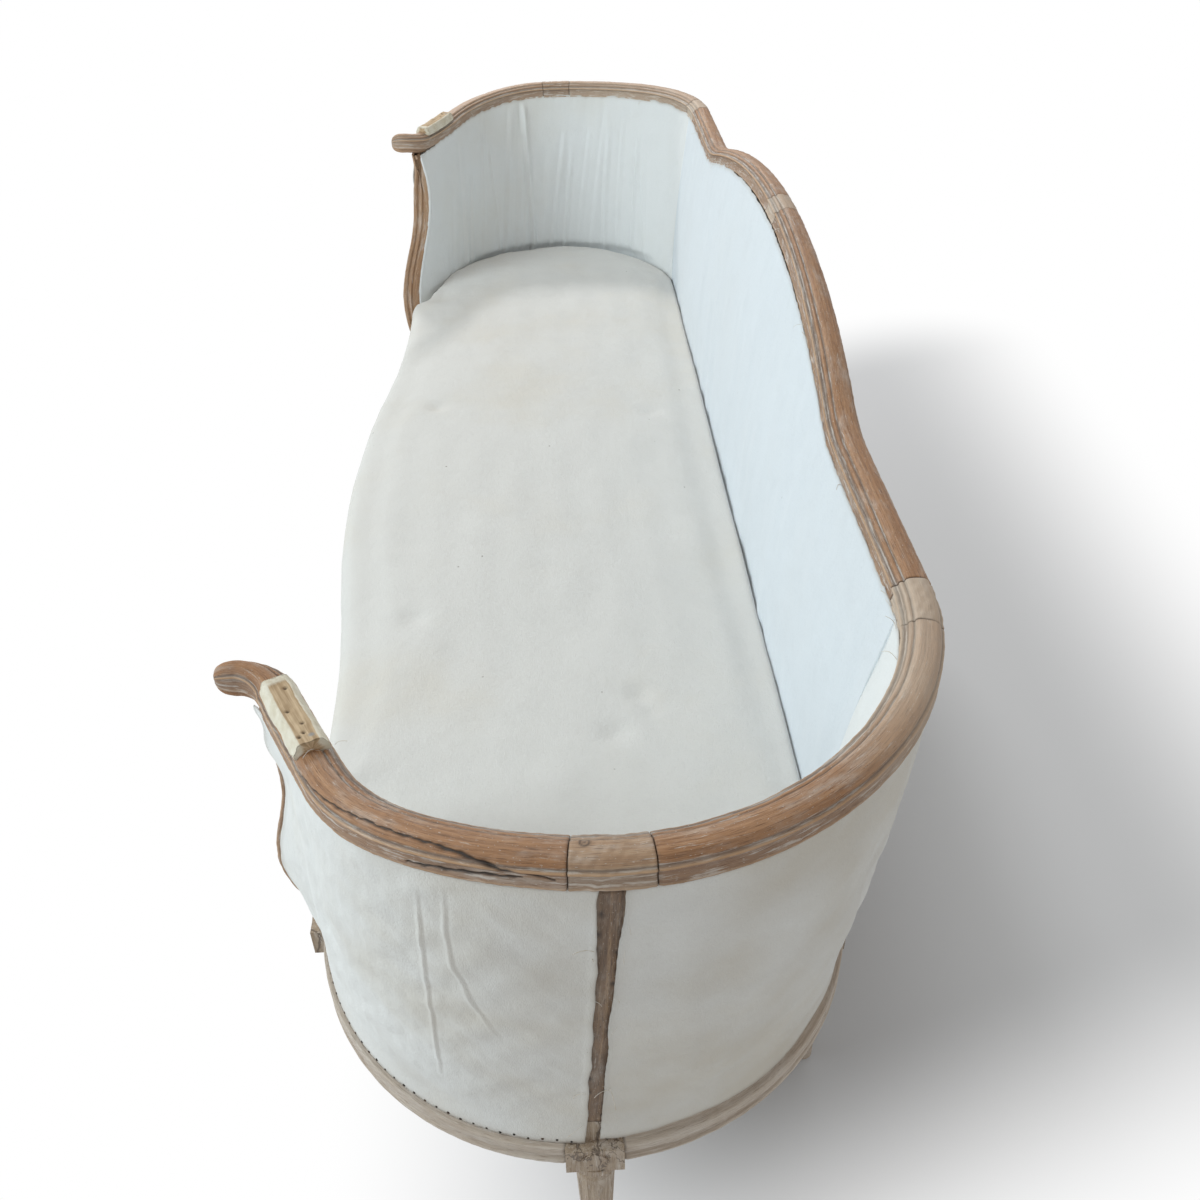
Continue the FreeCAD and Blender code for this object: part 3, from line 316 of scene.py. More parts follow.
def sweep(name, places, section, material, offset, marks=None, wave=0.0003, seed=1, joint=0.6):
    """Solid length of one section along places, rounded off and closed at its ends.

    The grain's map runs along the length and round the section, in metres."""
    section = np.asarray(section, float)
    if section.ndim == 2:
        section = np.repeat(section[None], len(places), 0)
    point, out, up = (np.array([getattr(p, n) for p in places]) for n in ("point", "out", "up"))
    run = runs(point)
    grid = point[:, None] + out[:, None] * section[..., :1] + up[:, None] * section[..., 1:2]
    middle = grid.mean(1, keepdims=True)
    away = grid - middle
    away /= np.linalg.norm(away, axis=2, keepdims=True)
    grid = grid + away * (ripple(grid, 0.035, seed) + 0.6 * ripple(grid, 0.009, seed + 1))[..., None] * wave
    rows, columns = grid.shape[:2]
    ends = np.minimum(run, run[-1] - run)
    grid = grid + (middle - grid) * ramp(ends, EASED_END, 0)[:, None, None] * 0.035
    outline = section[len(section) // 2]
    across = runs(np.vstack([outline, outline[:1]]))
    vertices = np.concatenate([grid.reshape(-1, 3), middle[0], middle[-1]])
    faces = tube_faces(rows, columns)
    uv = []
    for i in range(rows - 1):
        for j in range(columns):
            uv += [(run[i], across[j]), (run[i], across[j + 1])]
            uv += [(run[i + 1], across[j + 1]), (run[i + 1], across[j])]
    for row, tip in ((0, len(vertices) - 2), (rows - 1, len(vertices) - 1)):
        for j in range(columns):
            faces.append((row * columns + j, row * columns + (j + 1) % columns, tip))
            uv += [(run[row], across[j]), (run[row], across[j + 1]), (run[row] + 0.02, across[j])]
    made = {key: np.concatenate([np.broadcast_to(value, (rows, columns)).ravel(), [0, 0]])
            for key, value in (marks or {}).items()}
    worn = np.broadcast_to(ramp(ends, DARK_END, 0)[:, None] * joint, (rows, columns))
    made["cracks_and_quirk_shade"] = np.maximum(made.get("cracks_and_quirk_shade", 0), np.concatenate([worn.ravel(), [joint, joint]]))
    uv = np.array(uv) + offset
    return new_piece(name, vertices, faces, material, uv, made)


def fix(piece, slot, *nodes):
    """Hold a piece on the frame and let it stand for its solids."""
    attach(piece, "root")
    if nodes:
        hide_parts(*nodes)


def stops(first, last, step):
    """Even stops with two close ones at each end, for the rounded-off ends."""
    count = max(int(abs(last - first) / step), 4)
    share = np.linspace(0, 1, count + 1)
    small = 0.0013 / max(abs(last - first), 0.01)
    return first + (last - first) * np.concatenate([[0, small], share[1:-1], [1 - small, 1]])


def mirrored(places):
    """The same places on the other half."""
    flip = Vector((-1, 1, 1))
    return [Place(p.point * flip, p.along * flip, p.out * flip, p.up * flip) for p in places]


def both_sides(places):
    return ("right", places), ("left", mirrored(places))


SEAT_PROFILE = [(-0.0225, 0.275), (0.0190, 0.275), (0.0214, 0.2758), (0.0225, 0.2775), (0.0225, 0.2795),
                (0.0214, 0.2815), (0.0194, 0.2823), (0.0190, 0.2835), (0.0181, 0.2850), (0.0178, 0.2872),
                (0.0184, 0.2893), (0.0199, 0.2905), (0.0202, 0.2915), (0.0221, 0.2919), (0.0225, 0.2930),
                (0.0225, 0.3035), (0.0218, 0.3048), (0.0200, 0.3052), (0.0145, 0.3054), (0.0145, 0.340),
                (-0.0145, 0.340), (-0.0225, 0.332)]
seat_section = evenly(SEAT_PROFILE, 0.0016, True)
seat_hollow = peak(seat_section[:, 1], 0.2872, 0.006) * (seat_section[:, 0] > 0.012)
seat_rail_wood = stripped_wood("seat_rail_beech", (0.27, 0.20, 0.148), (0.50, 0.42, 0.345),
                               (0.60, 0.54, 0.47), 0.85)


def front_angle(x):
    """Degrees on the frame's round where it reaches x, ahead of the end."""
    return -math.degrees(math.acos((x - BASE_MIDDLE[0]) / BASE_RADIUS))


def seat_rail(name, places, order):
    for side, way in both_sides(places):
        piece = sweep(f"{name}_length_{side}", way, seat_section, seat_rail_wood, (order * 1.3, 0.2 * order),
                      {"hollow": seat_hollow}, 0.0003, order)
        fix(piece, "seat_frame_wood", f"{name}_{side}")


CORNER_TURN = 84.0
TURN_STEP, RAIL_STEP = 0.6, 0.006
die_side = DIE_HALF + RAIL_GAP
die_turn = math.degrees(math.asin((DIE_HALF - 0.0004) / (BASE_RADIUS + SEAT_RAIL_HALF)))
corner_x = BASE_MIDDLE[0] + BASE_RADIUS * math.cos(math.radians(CORNER_TURN))
for order, (name, first, last) in enumerate((
        ("end_seat_rail_front", -die_turn, front_angle(FRONT_LEG_X + die_side)),
        ("end_seat_rail_back", CORNER_TURN - die_turn, die_turn))):
    seat_rail(name, [turned(BASE_MIDDLE, BASE_RADIUS, d) for d in stops(first, last, TURN_STEP)], 1 + order)
back_places = [base(x / BASE_MIDDLE[0]) for x in stops(die_side, corner_x - die_side, RAIL_STEP)]
seat_rail("back_seat_rail", back_places, 3)
front_places = [front(x) for x in stops(FRONT_LEG_X - die_side, die_side, RAIL_STEP)]
for spot in front_places:
    spot.point -= spot.out * SEAT_RAIL_HALF
seat_rail("front_seat_rail", front_places, 4)

# Brace and pegs.
# A plain beech bar from the front centre die to the back centre die keeps the long rails
# apart, and small round pegs lock the rail tenons. Both are raw wood.
raw_wood = stripped_wood("raw_beech", (0.27, 0.18, 0.11), (0.43, 0.31, 0.20), (0.55, 0.43, 0.30), 0.2, "y")
peg_wood = stripped_wood("peg_beech", (0.16, 0.10, 0.06), (0.30, 0.21, 0.14), (0.42, 0.32, 0.22), 0.4, "z")
dress("seat_brace", raw_wood)
dress("joint_pegs", peg_wood)

# Top rail.
# Moulded beech lengths round the back and both ends, jointed in line at each post's block. The
# section has a broad smooth roll, a thin ridge and a hollow band each side, and a rebate below
# for the covers. The arm at the right end is split along its ridge.
TOP_MIDDLE = (0.835, 0.02646)
TOP_RADIUS = 0.296
RAIL_TOP, CORNER_RISE, ARM_DROP = 0.805, 0.010, 0.038
CREST_RADIUS, CREST_HOLLOW, CREST_TURN, CREST_RISE = 1.920, 0.340, math.radians(15), 0.07701
CREST_LEAN, CREST_TILT = math.tan(math.radians(16)), math.radians(10)
ARM_BEND, ARM_RADIUS, ARM_ANGLE = 33.0, 0.200, 63.0
BEND_RUN, ROUND_RUN, ARM_RUN = 0.17048, 0.27520, 0.40520
HOOK_RADIUS, HOOK_TURN = 0.045, 65.0
BLOCK_HALF = 0.031
END_HALF = BLOCK_HALF / (math.pi / 2 * TOP_RADIUS)
ARM_HALF = BLOCK_HALF / ARM_RUN
CORNER, CORNER_END = 1 + END_HALF, 1 + 2 * END_HALF
RAIL_HEIGHT = 0.036


def swing(share):
    """Ease from 0 to 1."""
    return (1 - math.cos(math.pi * min(max(share, 0), 1))) / 2


def crest_rise(x):
    """The crest's height over the level rail: an arch, a hollow, then level."""
    arch_end = CREST_RADIUS * math.sin(CREST_TURN)
    hollow_end = arch_end + CREST_HOLLOW * math.sin(CREST_TURN)
    if x <= arch_end:
        return CREST_RISE - CREST_RADIUS + math.sqrt(CREST_RADIUS ** 2 - x ** 2)
    if x < hollow_end:
        return CREST_HOLLOW - math.sqrt(CREST_HOLLOW ** 2 - (hollow_end - x) ** 2)
    return 0.0


def arm_line(run):
    """Place along the arm: the end's round, a tighter one, then straight."""
    if run <= BEND_RUN:
        return turned(TOP_MIDDLE, TOP_RADIUS, -math.degrees(run / TOP_RADIUS))
    middle = turned(TOP_MIDDLE, TOP_RADIUS - ARM_RADIUS, -ARM_BEND).point
    turn = min(ARM_BEND + math.degrees((run - BEND_RUN) / ARM_RADIUS), ARM_ANGLE)
    place = turned(middle, ARM_RADIUS, -turn)
    place.point += place.along * max(run - ROUND_RUN, 0)
    return place


def top(k):
    """Middle line of the top rail, at its upper face."""
    place = round_line(k, TOP_MIDDLE, TOP_RADIUS, 0) if k <= 2 else arm_line((k - 2) * ARM_RUN)
    if abs(k) <= 1:
        rise = crest_rise(abs(place.point.x))
        place.point.y += rise * CREST_LEAN
        place.point.z = RAIL_TOP + CORNER_RISE + rise
        tilt = CREST_TILT * rise / CREST_RISE
        place.out = Vector((0, math.cos(tilt), -math.sin(tilt)))
        place.up = Vector((0, math.sin(tilt), math.cos(tilt)))
    elif k <= 2:
        place.point.z = RAIL_TOP + CORNER_RISE * swing((2 - END_HALF - k) / (1 - 3 * END_HALF))
    else:
        place.point.z = RAIL_TOP - ARM_DROP * swing((k - 2 - ARM_HALF) / (1 - ARM_HALF))
    return place


def hook(turn):
    """Place on the forward curl at the front of the arm."""
    start = top(3)
    spin = Matrix.Rotation(math.radians(turn), 3, "Z")
    out = spin @ start.out
    return Place(start.point + start.out * HOOK_RADIUS - out * HOOK_RADIUS, spin @ start.along, out)


RAIL_SIDE = [(0.0, 0.0), (0.004, -0.0001), (0.008, -0.0006), (0.0110, -0.0015), (0.0133, -0.0029),
             (0.0150, -0.0048), (0.0159, -0.0068), (0.0161, -0.0084), (0.0165, -0.0093), (0.0181, -0.0096),
             (0.0189, -0.0104), (0.0190, -0.0114), (0.0186, -0.0123), (0.0175, -0.0128), (0.0168, -0.0140),
             (0.0163, -0.0165), (0.0163, -0.0195), (0.0168, -0.0225), (0.0177, -0.0250), (0.0187, -0.0263),
             (0.0189, -0.0272), (0.0185, -0.0281), (0.0120, -0.0282), (0.0120, -0.0360)]
RAIL_INNER = [(0.0, 0.0), (0.003, -0.0003), (0.0055, -0.0012), (0.0068, -0.0026), (0.0072, -0.0040),
              (0.0080, -0.0046), (0.0092, -0.0040), (0.0108, -0.0041), (0.0120, -0.0049), (0.0126, -0.0062),
              (0.0129, -0.0076), (0.0140, -0.0086)] + RAIL_SIDE[9:]
rail_outline = RAIL_SIDE + [(-u, w) for u, w in RAIL_INNER[:0:-1]]


def rail_shape(step):
    """The rail's section at this fineness, with its hollows, painted highlights on its ridges and painted
    shade in its quirks.
    """
    section = evenly(rail_outline, step, True)
    side, depth, inner = np.abs(section[:, 0]), -section[:, 1], section[:, 0] < 0
    hollow = [(side > 0.0125) * peak(depth, 0.0088, 0.0022), inner * peak(side, 0.0078, 0.0018),
              ((depth > 0.0125) & (side > 0.014)) * 0.55]
    # Painted highlights along the ridges.
    ridge_highlight = [(side > 0.0172) * peak(depth, 0.0106, 0.0016) * 0.8,
             (side > 0.018) * peak(depth, 0.0268, 0.0012) * 0.5]
    # Painted shade in the narrow quirks beside the beads, kept with the real cracks and joints.
    quirk_shade = [((side > 0.0150) & (depth < 0.0125)) * peak(depth, 0.0088, 0.0010) * 0.55,
             (side > 0.0150) * peak(depth, 0.0136, 0.0011) * 0.4,
             (inner & (depth < 0.007)) * peak(side, 0.0078, 0.0010) * 0.5,
             (inner & (depth < 0.009)) * peak(side, 0.0131, 0.0010) * 0.5]
    looks = (("hollow", hollow), ("ridge_highlight", ridge_highlight), ("cracks_and_quirk_shade", quirk_shade))
    return section, {name: np.maximum.reduce(parts) for name, parts in looks}


rail_section, rail_look = rail_shape(0.0010)
arm_section, arm_look = rail_shape(0.0008)
rail_wood = stripped_wood("top_rail_beech", (0.12, 0.058, 0.028), (0.36, 0.185, 0.088),
                          (0.46, 0.265, 0.145), 0.5)


def rail_length(name, side, places, order, section, look):
    piece = sweep(f"{name}_length_{side}", places, section, rail_wood, (order * 1.7, 0.31 * order), look,
                  0.00035, 10 + order)
    fix(piece, "top_rail_wood", f"{name}_{side}")


def split(places, section):
    """The arm's split: a thin line that opens over the roll, and one along the lower edge."""
    run = runs(np.array([p.point for p in places]))[:, None]
    arc = runs(section)[None]
    lines = [([0.008, 0.030, 0.050, 0.062, 0.080, 0.100, 0.16, 0.20, 0.25],
              [0.034, 0.0275, 0.0225, 0.0190, 0.0150, 0.0128, 0.0118, 0.0150, 0.0195],
              [0.0008, 0.0013, 0.0019, 0.0021, 0.0016, 0.0010, 0.0008, 0.0008, 0.0006]),
             ([0.030, 0.06, 0.09, 0.12], [0.0335, 0.0345, 0.0365, 0.0385], [0.0008, 0.0014, 0.0013, 0.0007])]
    deep = np.zeros((len(places), len(section)))
    for at, height, width in lines:
        line = np.interp(run, at, height) + 0.0003 * np.sin(run * 310) + 0.0002 * np.sin(run * 730)
        wide = np.interp(run, at, width) * (1 + 0.25 * np.sin(run * 370))
        inside = (run > at[0]) & (run < at[-1])
        deep = np.maximum(deep, np.where(inside, np.exp(-((arc - line) / wide) ** 2), 0))
    return deep


JOINT_GAP, CENTRE_GAP, CREST_END = 0.001, 0.0004, 0.9994
FINE_STEP, SHOULDER_STEP = 0.0035, 0.007
HOOK_STEPS, HOOK_LIFT = 25, 0.006
NOSE_STEPS, NOSE_LENGTH = 14, 0.020
TAPER, TAPER_MIDDLE = 0.44, -0.006
crest_places = [top(k) for k in stops(BLOCK_HALF / TOP_MIDDLE[0] + CENTRE_GAP, CREST_END, FINE_STEP)]
shoulder_places = [top(k) for k in stops(CORNER_END + JOINT_GAP, 2 - END_HALF - JOINT_GAP, SHOULDER_STEP)]
arm_places = [top(k) for k in stops(2 + ARM_HALF + JOINT_GAP, 3, FINE_STEP)[:-1]]
bent = [i / (HOOK_STEPS - 1) for i in range(HOOK_STEPS)]
for share in bent:
    place = hook(HOOK_TURN * share)
    place.point.z += HOOK_LIFT * swing(share)
    arm_places.append(place)
arm_sections = np.repeat(arm_section[None], len(arm_places) + NOSE_STEPS, 0)
tip, nose_middle = arm_places[-1], np.array((0.0, -0.019))
for i in range(1, NOSE_STEPS + 1):
    share = math.sin(math.pi / 2 * i / NOSE_STEPS)
    size = 0.25 + 0.75 * math.sqrt(max(1 - share ** 2, 0.015))
    arm_sections[len(arm_places)] = nose_middle + (arm_section - nose_middle) * size
    arm_places.append(Place(tip.at(NOSE_LENGTH * share, 0, 0), tip.along, tip.out))
curl = np.array([0.0] * (len(arm_places) - NOSE_STEPS - HOOK_STEPS) + bent + [1.0] * NOSE_STEPS)
arm_sections[..., 0] = (arm_sections[..., 0] - TAPER_MIDDLE) * (1 - TAPER * curl[:, None]) + TAPER_MIDDLE
split_marks = split(arm_places, arm_section)
split_sections = arm_sections - split_marks[..., None] * (0.0016, 0.0010)
# The split, with the painted shade in the quirks.
split_and_quirk_shade = np.maximum(arm_look["cracks_and_quirk_shade"], np.clip(split_marks * 1.2, 0, 1))
shoulder_run = np.linspace(0, 1, len(shoulder_places))[:, None]
# The near shoulder is painted paler towards the back corner: a painted sheen of the window's light there. On
# the far rails and the posts this pale grey is bleached residue in the wood.
near_painted_sheen = ramp(shoulder_run, 0.6, 0.25) * np.full(len(rail_section), 0.55)
far_bleach = np.full(len(rail_section), 0.4)
for order, (side, bleach_and_sheen) in enumerate((("right", near_painted_sheen), ("left", far_bleach))):
    crest, shoulder = crest_places, shoulder_places
    if side == "left":
        crest, shoulder = mirrored(crest), mirrored(shoulder)
    rail_length("crest_rail", side, crest, 1 + order, rail_section, rail_look)
    rail_length("shoulder_rail", side, shoulder, 3 + order, rail_section, {**rail_look, "bleach_and_sheen": bleach_and_sheen})
rail_length("arm_rail", "left", mirrored(arm_places), 5, arm_sections,
            {**arm_look, "bleach_and_sheen": np.full(len(arm_section), 0.25)})
rail_length("arm_rail", "right", arm_places, 6, split_sections, {**arm_look, "cracks_and_quirk_shade": split_and_quirk_shade})

# Posts.
# Each post is one piece with the joint block of the top rail: the block carries the rail's
# mouldings, and the square post goes down to the seat rail. Between the covers' edges a rough
# strip of the post shows, with old tack holes.
POST_HALF = 0.0225
POST_FACE, POST_BACK, POST_CORE = 0.0138, -0.0102, 0.0113
POST_ROWS, POST_RUN = 60, 0.42
HOLE_SIZE, HOLE_DEPTH = 0.0022, 0.0012
BLOCK_SCALE, BLOCK_INSET = 1.012, 0.0005
block_wood = stripped_wood("joint_block_beech", (0.14, 0.075, 0.04), (0.36, 0.21, 0.115),
                           (0.48, 0.325, 0.205), 0.65)
post_wood = stripped_wood("post_beech", (0.07, 0.043, 0.025), (0.19, 0.117, 0.069), (0.38, 0.25, 0.15), 0.35)


def post(name, k, first, last, order, bleach_and_sheen, nodes, flip=False, knot=None):
    """A post at station k with its joint block, and where given a knot at (run, side)."""
    places = [top(at) for at in stops(first, last, (last - first) / 44)]
    foot, head = base(k), top(k)
    level = Vector((head.out.x, head.out.y, 0)).normalized()
    low, high = foot.at(0, 0, SEAT_RAIL_TOP), head.at(0, 0, 0.0012 - RAIL_HEIGHT)
    height = np.linspace(0, 1, POST_ROWS)
    upright = [Place(low.lerp(high, share), head.along, foot.out.lerp(level, share), head.along)
               for share in height]
    if flip:
        places, upright = mirrored(places), mirrored(upright)
    corners = np.array([(POST_FACE, -POST_HALF), (POST_FACE, POST_HALF),
                        (POST_BACK, POST_HALF), (POST_BACK, -POST_HALF)])
    sides = zip(corners, np.roll(corners, -1, 0), (24, 8, 10, 8))
    outline = np.concatenate([np.linspace(start, end, count)[:-1] for start, end, count in sides])
    slack = (1 - height)[:, None]
    reach = np.clip(outline[:, 0], -POST_CORE - 0.004 * slack, POST_CORE + 0.0025 * slack)
    sections = np.stack([reach, np.broadcast_to(outline[:, 1], reach.shape)], 2)
    draw = np.random.default_rng(order)
    holes = np.zeros(reach.shape)
    for edge in (-0.009, 0.009):
        for at in np.arange(0.04, 0.97, 0.062) + draw.uniform(-0.015, 0.015, 15):
            beside = outline[:, 1] - edge - draw.uniform(-0.003, 0.003)
            gap = ((height[:, None] - at) * POST_RUN) ** 2 + beside ** 2
            holes = np.maximum(holes, (outline[:, 0] > 0.01) * np.exp(-gap / HOLE_SIZE ** 2))
    sections[..., 0] -= holes * HOLE_DEPTH
    tan = ramp(np.abs(outline[:, 1]), 0.0085, 0.0125) * 0.55
    marks = np.repeat(rail_look["cracks_and_quirk_shade"][None], len(places), 0)
    if knot:
        along = np.linspace(0, 2 * BLOCK_HALF, len(places))[:, None] - knot[0]
        gap = np.sqrt(along ** 2 + (rail_section[:, 0] - knot[1]) ** 2)
        eye = np.exp(-((gap - 0.0036) / 0.0011) ** 2) * 0.8 + np.exp(-(gap / 0.0013) ** 2)
        marks = np.maximum(marks, (rail_section[:, 1] > -0.009) * eye)
    look = {**rail_look, "bleach_and_sheen": np.full(len(rail_section), bleach_and_sheen), "cracks_and_quirk_shade": marks}
    block = sweep(name, places, rail_section * BLOCK_SCALE, block_wood, (order * 2.3, 0.17 * order),
                  look, 0.0006, 40 + order)
    stem = sweep(name + "_stem", upright, sections, post_wood, (order * 0.9, 0.4),
                 {"cracks_and_quirk_shade": holes, "bleach_and_sheen": tan}, 0.0009, 60 + order)
    with bpy.context.temp_override(active_object=block, selected_editable_objects=[block, stem]):
        bpy.ops.object.join()
    fix(block, "top_rail_wood", *nodes)


for order, side in enumerate(SIDES):
    flip = side == "left"
    post(f"end_post_block_{side}", 2, 2 - END_HALF + BLOCK_INSET, 2 + ARM_HALF - BLOCK_INSET, 1 + order, 0.12,
         [f"end_post_{side}"], flip, None if flip else (0.049, -0.003))
    post(f"back_corner_post_block_{side}", CORNER, 1 + BLOCK_INSET, CORNER_END - BLOCK_INSET, 3 + order, 0.62,
         [f"back_corner_post_{side}"], flip)
centre_half = BLOCK_HALF / TOP_MIDDLE[0] - BLOCK_INSET
post("back_centre_post_block", 0, -centre_half, centre_half, 5, 0.45, ["back_centre_post"])

# Front posts.
# S-curved posts of beech from the front dies up to the arms' noses, with eased edges, tenoned
# at both ends. The covers are lapped on their sides.
POST_FOOT, POST_HEAD = Vector((0.775, -0.29003, 0.340)), Vector((0.87081, -0.28271, 0.7312))
POST_SWAY = 0.018


def front_post_axis(share, across=0.0, forward=0.0):
    sway = POST_SWAY * math.sin(2 * math.pi * share)
    return POST_FOOT.lerp(POST_HEAD, share) + Vector((across, -forward - sway, 0))


EASED = 0.004
eased = []
for cx, cy, start in ((0.013, 0.010, 0), (-0.013, 0.010, 90), (-0.013, -0.020, 180), (0.013, -0.020, 270)):
    for turn in range(0, 91, 15):
        angle = math.radians(start + turn)
        eased.append((cx + EASED * math.cos(angle), cy + EASED * math.sin(angle)))
    if start == 90:
        eased += [(-0.017, 0.000), (-0.0148, -0.0015), (-0.0148, -0.0045), (-0.0175, -0.006),
                  (-0.0175, -0.009), (-0.0150, -0.0105), (-0.0150, -0.0150), (-0.017, -0.0165)]
post_section = evenly(eased, 0.0014, True)
post_shares = stops(0, 1, 0.012)
post_places = [Place(front_post_axis(share), (0, 0, 1), (1, 0, 0), (0, 1, 0)) for share in post_shares]
post_sections = np.repeat(post_section[None], len(post_places), 0)
for start, length, behind, depth in ((0.72, 0.2, 0.0, 0.007), (0.8, 0.2, -0.002, 0.014)):
    drawn_in = np.array([swing((share - start) / length) for share in post_shares])
    post_sections[..., 1] += np.where(post_sections[..., 1] < behind, depth, 0) * drawn_in[:, None]
for order, (side, way) in enumerate(both_sides(post_places)):
    piece = sweep(f"front_post_length_{side}", way, post_sections, block_wood, (order * 1.1, 0.6),
                  None, 0.0005, 80 + order, 0.0)
    fix(piece, "top_rail_wood", f"front_post_{side}")

# Arm pad bases.
# Small bare blocks on the arms, where the arm pads were nailed: raw tan wood on top, old cream
# paint on the sloping sides, nail holes and a grey plug.
PAD_IN, PAD_LENGTH, PAD_HEIGHT, PAD_FOOT, PAD_TOP = 0.003, 0.105, 0.010, 0.016, 0.010
NAIL_DEPTH = 0.002
pad_material, tree, shader = blank_material("bare_pad_block", 0.75)
where = place_on(tree, "UV")
fibre = clouds(tree, where, (14, 260, 1), 5, 0.6)
flake = clouds(tree, where, (60, 60, 1), 4, 0.6)
cream = mixed(tree, between(tree, flake, 0.3, 0.7), (0.66, 0.60, 0.47), (0.78, 0.74, 0.63))
paint = summed(tree, "ADD", painted(tree, "paint"), summed(tree, "MULTIPLY", flake, 0.5))
colour = layered(tree, (0.38, 0.26, 0.15), [
    (between(tree, fibre, 0.35, 0.68), (0.64, 0.49, 0.32)),
    (between(tree, paint, 0.55, 0.8), cream),
    (painted(tree, "cracks_and_quirk_shade"), (0.03, 0.02, 0.015)),
    (painted(tree, "plug"), (0.30, 0.29, 0.28))])
coloured(tree, shader, colour, summed(tree, "ADD", fibre, paint), 0.5, 0.001)
PAD_EASE, PAD_SUNK = 0.001, -0.005
pad_right = [(PAD_TOP - PAD_EASE, PAD_HEIGHT), (PAD_TOP + PAD_EASE, PAD_HEIGHT - PAD_EASE),
             (PAD_FOOT, 0.0), (PAD_FOOT, PAD_SUNK)]
pad_line = [(-u, w) for u, w in reversed(pad_right)] + pad_right
pad_section = evenly(pad_line, 0.0011, True)
pad_start = ARM_RUN - PAD_IN - PAD_LENGTH
pad_places = [top(2 + run / ARM_RUN) for run in stops(pad_start, pad_start + PAD_LENGTH, 0.0012)]
pad_run = np.array([(p.point - pad_places[0].point).length for p in pad_places])[:, None]
upper = (pad_section[:, 1] > PAD_HEIGHT - 0.0016)[None]
pad_paint = np.where(upper, np.clip((np.abs(pad_section[None, :, 0]) - 0.0072) / 0.003, 0, 0.6), 0.75)
pad_paint = np.maximum(pad_paint, np.clip((pad_run - 0.088) / 0.02, 0, 0.5))
nails = [(0.085, -0.004), (0.030, -0.002), (0.017, 0.001), (0.012, 0.006), (0.052, 0.004)]
pad_side = pad_section[None, :, 0]
pad_holes = np.zeros((len(pad_places), len(pad_section)))
for at, off in nails:
    gap = (pad_run - at) ** 2 + (pad_side - off) ** 2
    pad_holes = np.maximum(pad_holes, upper * np.exp(-gap / 0.0016 ** 2))
gap = (pad_run - 0.010) ** 2 + (pad_side + 0.004) ** 2
pad_plug = upper * np.exp(-(gap / 0.0028 ** 2) ** 2)
pad_sections = np.repeat(pad_section[None], len(pad_places), 0)
pad_sections[..., 1] -= pad_holes * NAIL_DEPTH
for order, (side, way) in enumerate(both_sides(pad_places)):
    piece = sweep(f"arm_pad_block_{side}", way, pad_sections, pad_material, (order * 0.7, 0.0),
                  {"paint": pad_paint, "cracks_and_quirk_shade": pad_holes, "plug": pad_plug}, 0.0009, 90 + order, 0.0)
    fix(piece, "arm_pad_wood", f"arm_pad_base_{side}")

# Seat webbing and hessian.
# Jute straps, 60 mm wide, are tacked across and along the seat rails and woven through each
# other. A coarse hessian is laid over them and tacked round its edge.
WEB_HALF, WEB_THICK = 0.030, 0.0016
ACROSS_X = [0.13 * i - 0.65 for i in range(11)]
ALONG_Y = [-0.1781, -0.0586, 0.0610, 0.1831]
WEB_BACK, WEB_ROUND = 0.2826, 0.2764


def jute(name, low, high, thread):
    """Plain woven jute: two crossing sets of threads."""
    material, tree, shader = blank_material(name, 0.9)
    where = place_on(tree)
    settings = {"Vector": where, "Scale": 1 / thread / 6.28, "Distortion": 0.6, "Detail": 1.0}
    waves = [put(tree, "ShaderNodeTexWave", settings, bands_direction=axis).outputs["Fac"] for axis in "XY"]
    weave = summed(tree, "MAXIMUM", *waves)
    fleck = clouds(tree, where, (220, 220, 60), 4)
    colour = layered(tree, low, [(between(tree, fleck, 0.3, 0.7), high),
                                 (between(tree, weave, 0.75, 0.2, 0.55), [c * 0.35 for c in low])])
    coloured(tree, shader, colour, weave, 0.6, 0.0008)
    return material


def grid_normals(grid):
    normals = np.cross(np.gradient(grid, axis=1), np.gradient(grid, axis=0))
    return normals / np.linalg.norm(normals, axis=2, keepdims=True)


def cloth_shell(face, thick, normals):
    """Closed thin sheet over a grid of points: vertices and faces."""
    rows, columns = face.shape[:2]
    back = face - normals * np.broadcast_to(thick, face.shape[:2])[..., None]
    vertices = np.concatenate([face.reshape(-1, 3), back.reshape(-1, 3)])
    count = rows * columns
    faces = []
    for i in range(rows - 1):
        for j in range(columns - 1):
            a = i * columns + j
            faces.append((a, a + 1, a + 1 + columns, a + columns))
            faces.append((count + a, count + a + columns, count + a + 1 + columns, count + a + 1))
    spots = np.arange(count).reshape(rows, columns)
    edge = [*spots[0], *spots[1:, -1], *spots[-1, -2::-1], *spots[-2:0:-1, 0]]
    for a, b in zip(edge, edge[1:] + edge[:1]):
        faces.append((a, b, count + b, count + a))
    return vertices, faces


def straps(name, node, lines):
    """Straps as one set: each line is a list of points and the direction across it."""
    vertices, faces = [], []
    for points, sideways in lines:
        points = np.asarray(points, float)
        face = points[:, None] + np.linspace(-WEB_HALF, WEB_HALF, 5)[None, :, None] * np.asarray(sideways)
        strap, bits = cloth_shell(face, WEB_THICK, grid_normals(face))
        faces += [tuple(v + len(vertices) for v in bit) for bit in bits]
        vertices += list(strap)
    webs = new_piece(name, vertices, faces, web_jute)
    fix(webs, "webbing", node)


def woven(at, crossings, order):
    """Rise of a strap over and under the straps that cross it."""
    over = 0
    for i, other in enumerate(crossings):
        over += math.exp(-((at - other) / 0.035) ** 4) * (1 if (order + i) % 2 else -1)
    return 0.0011 * over


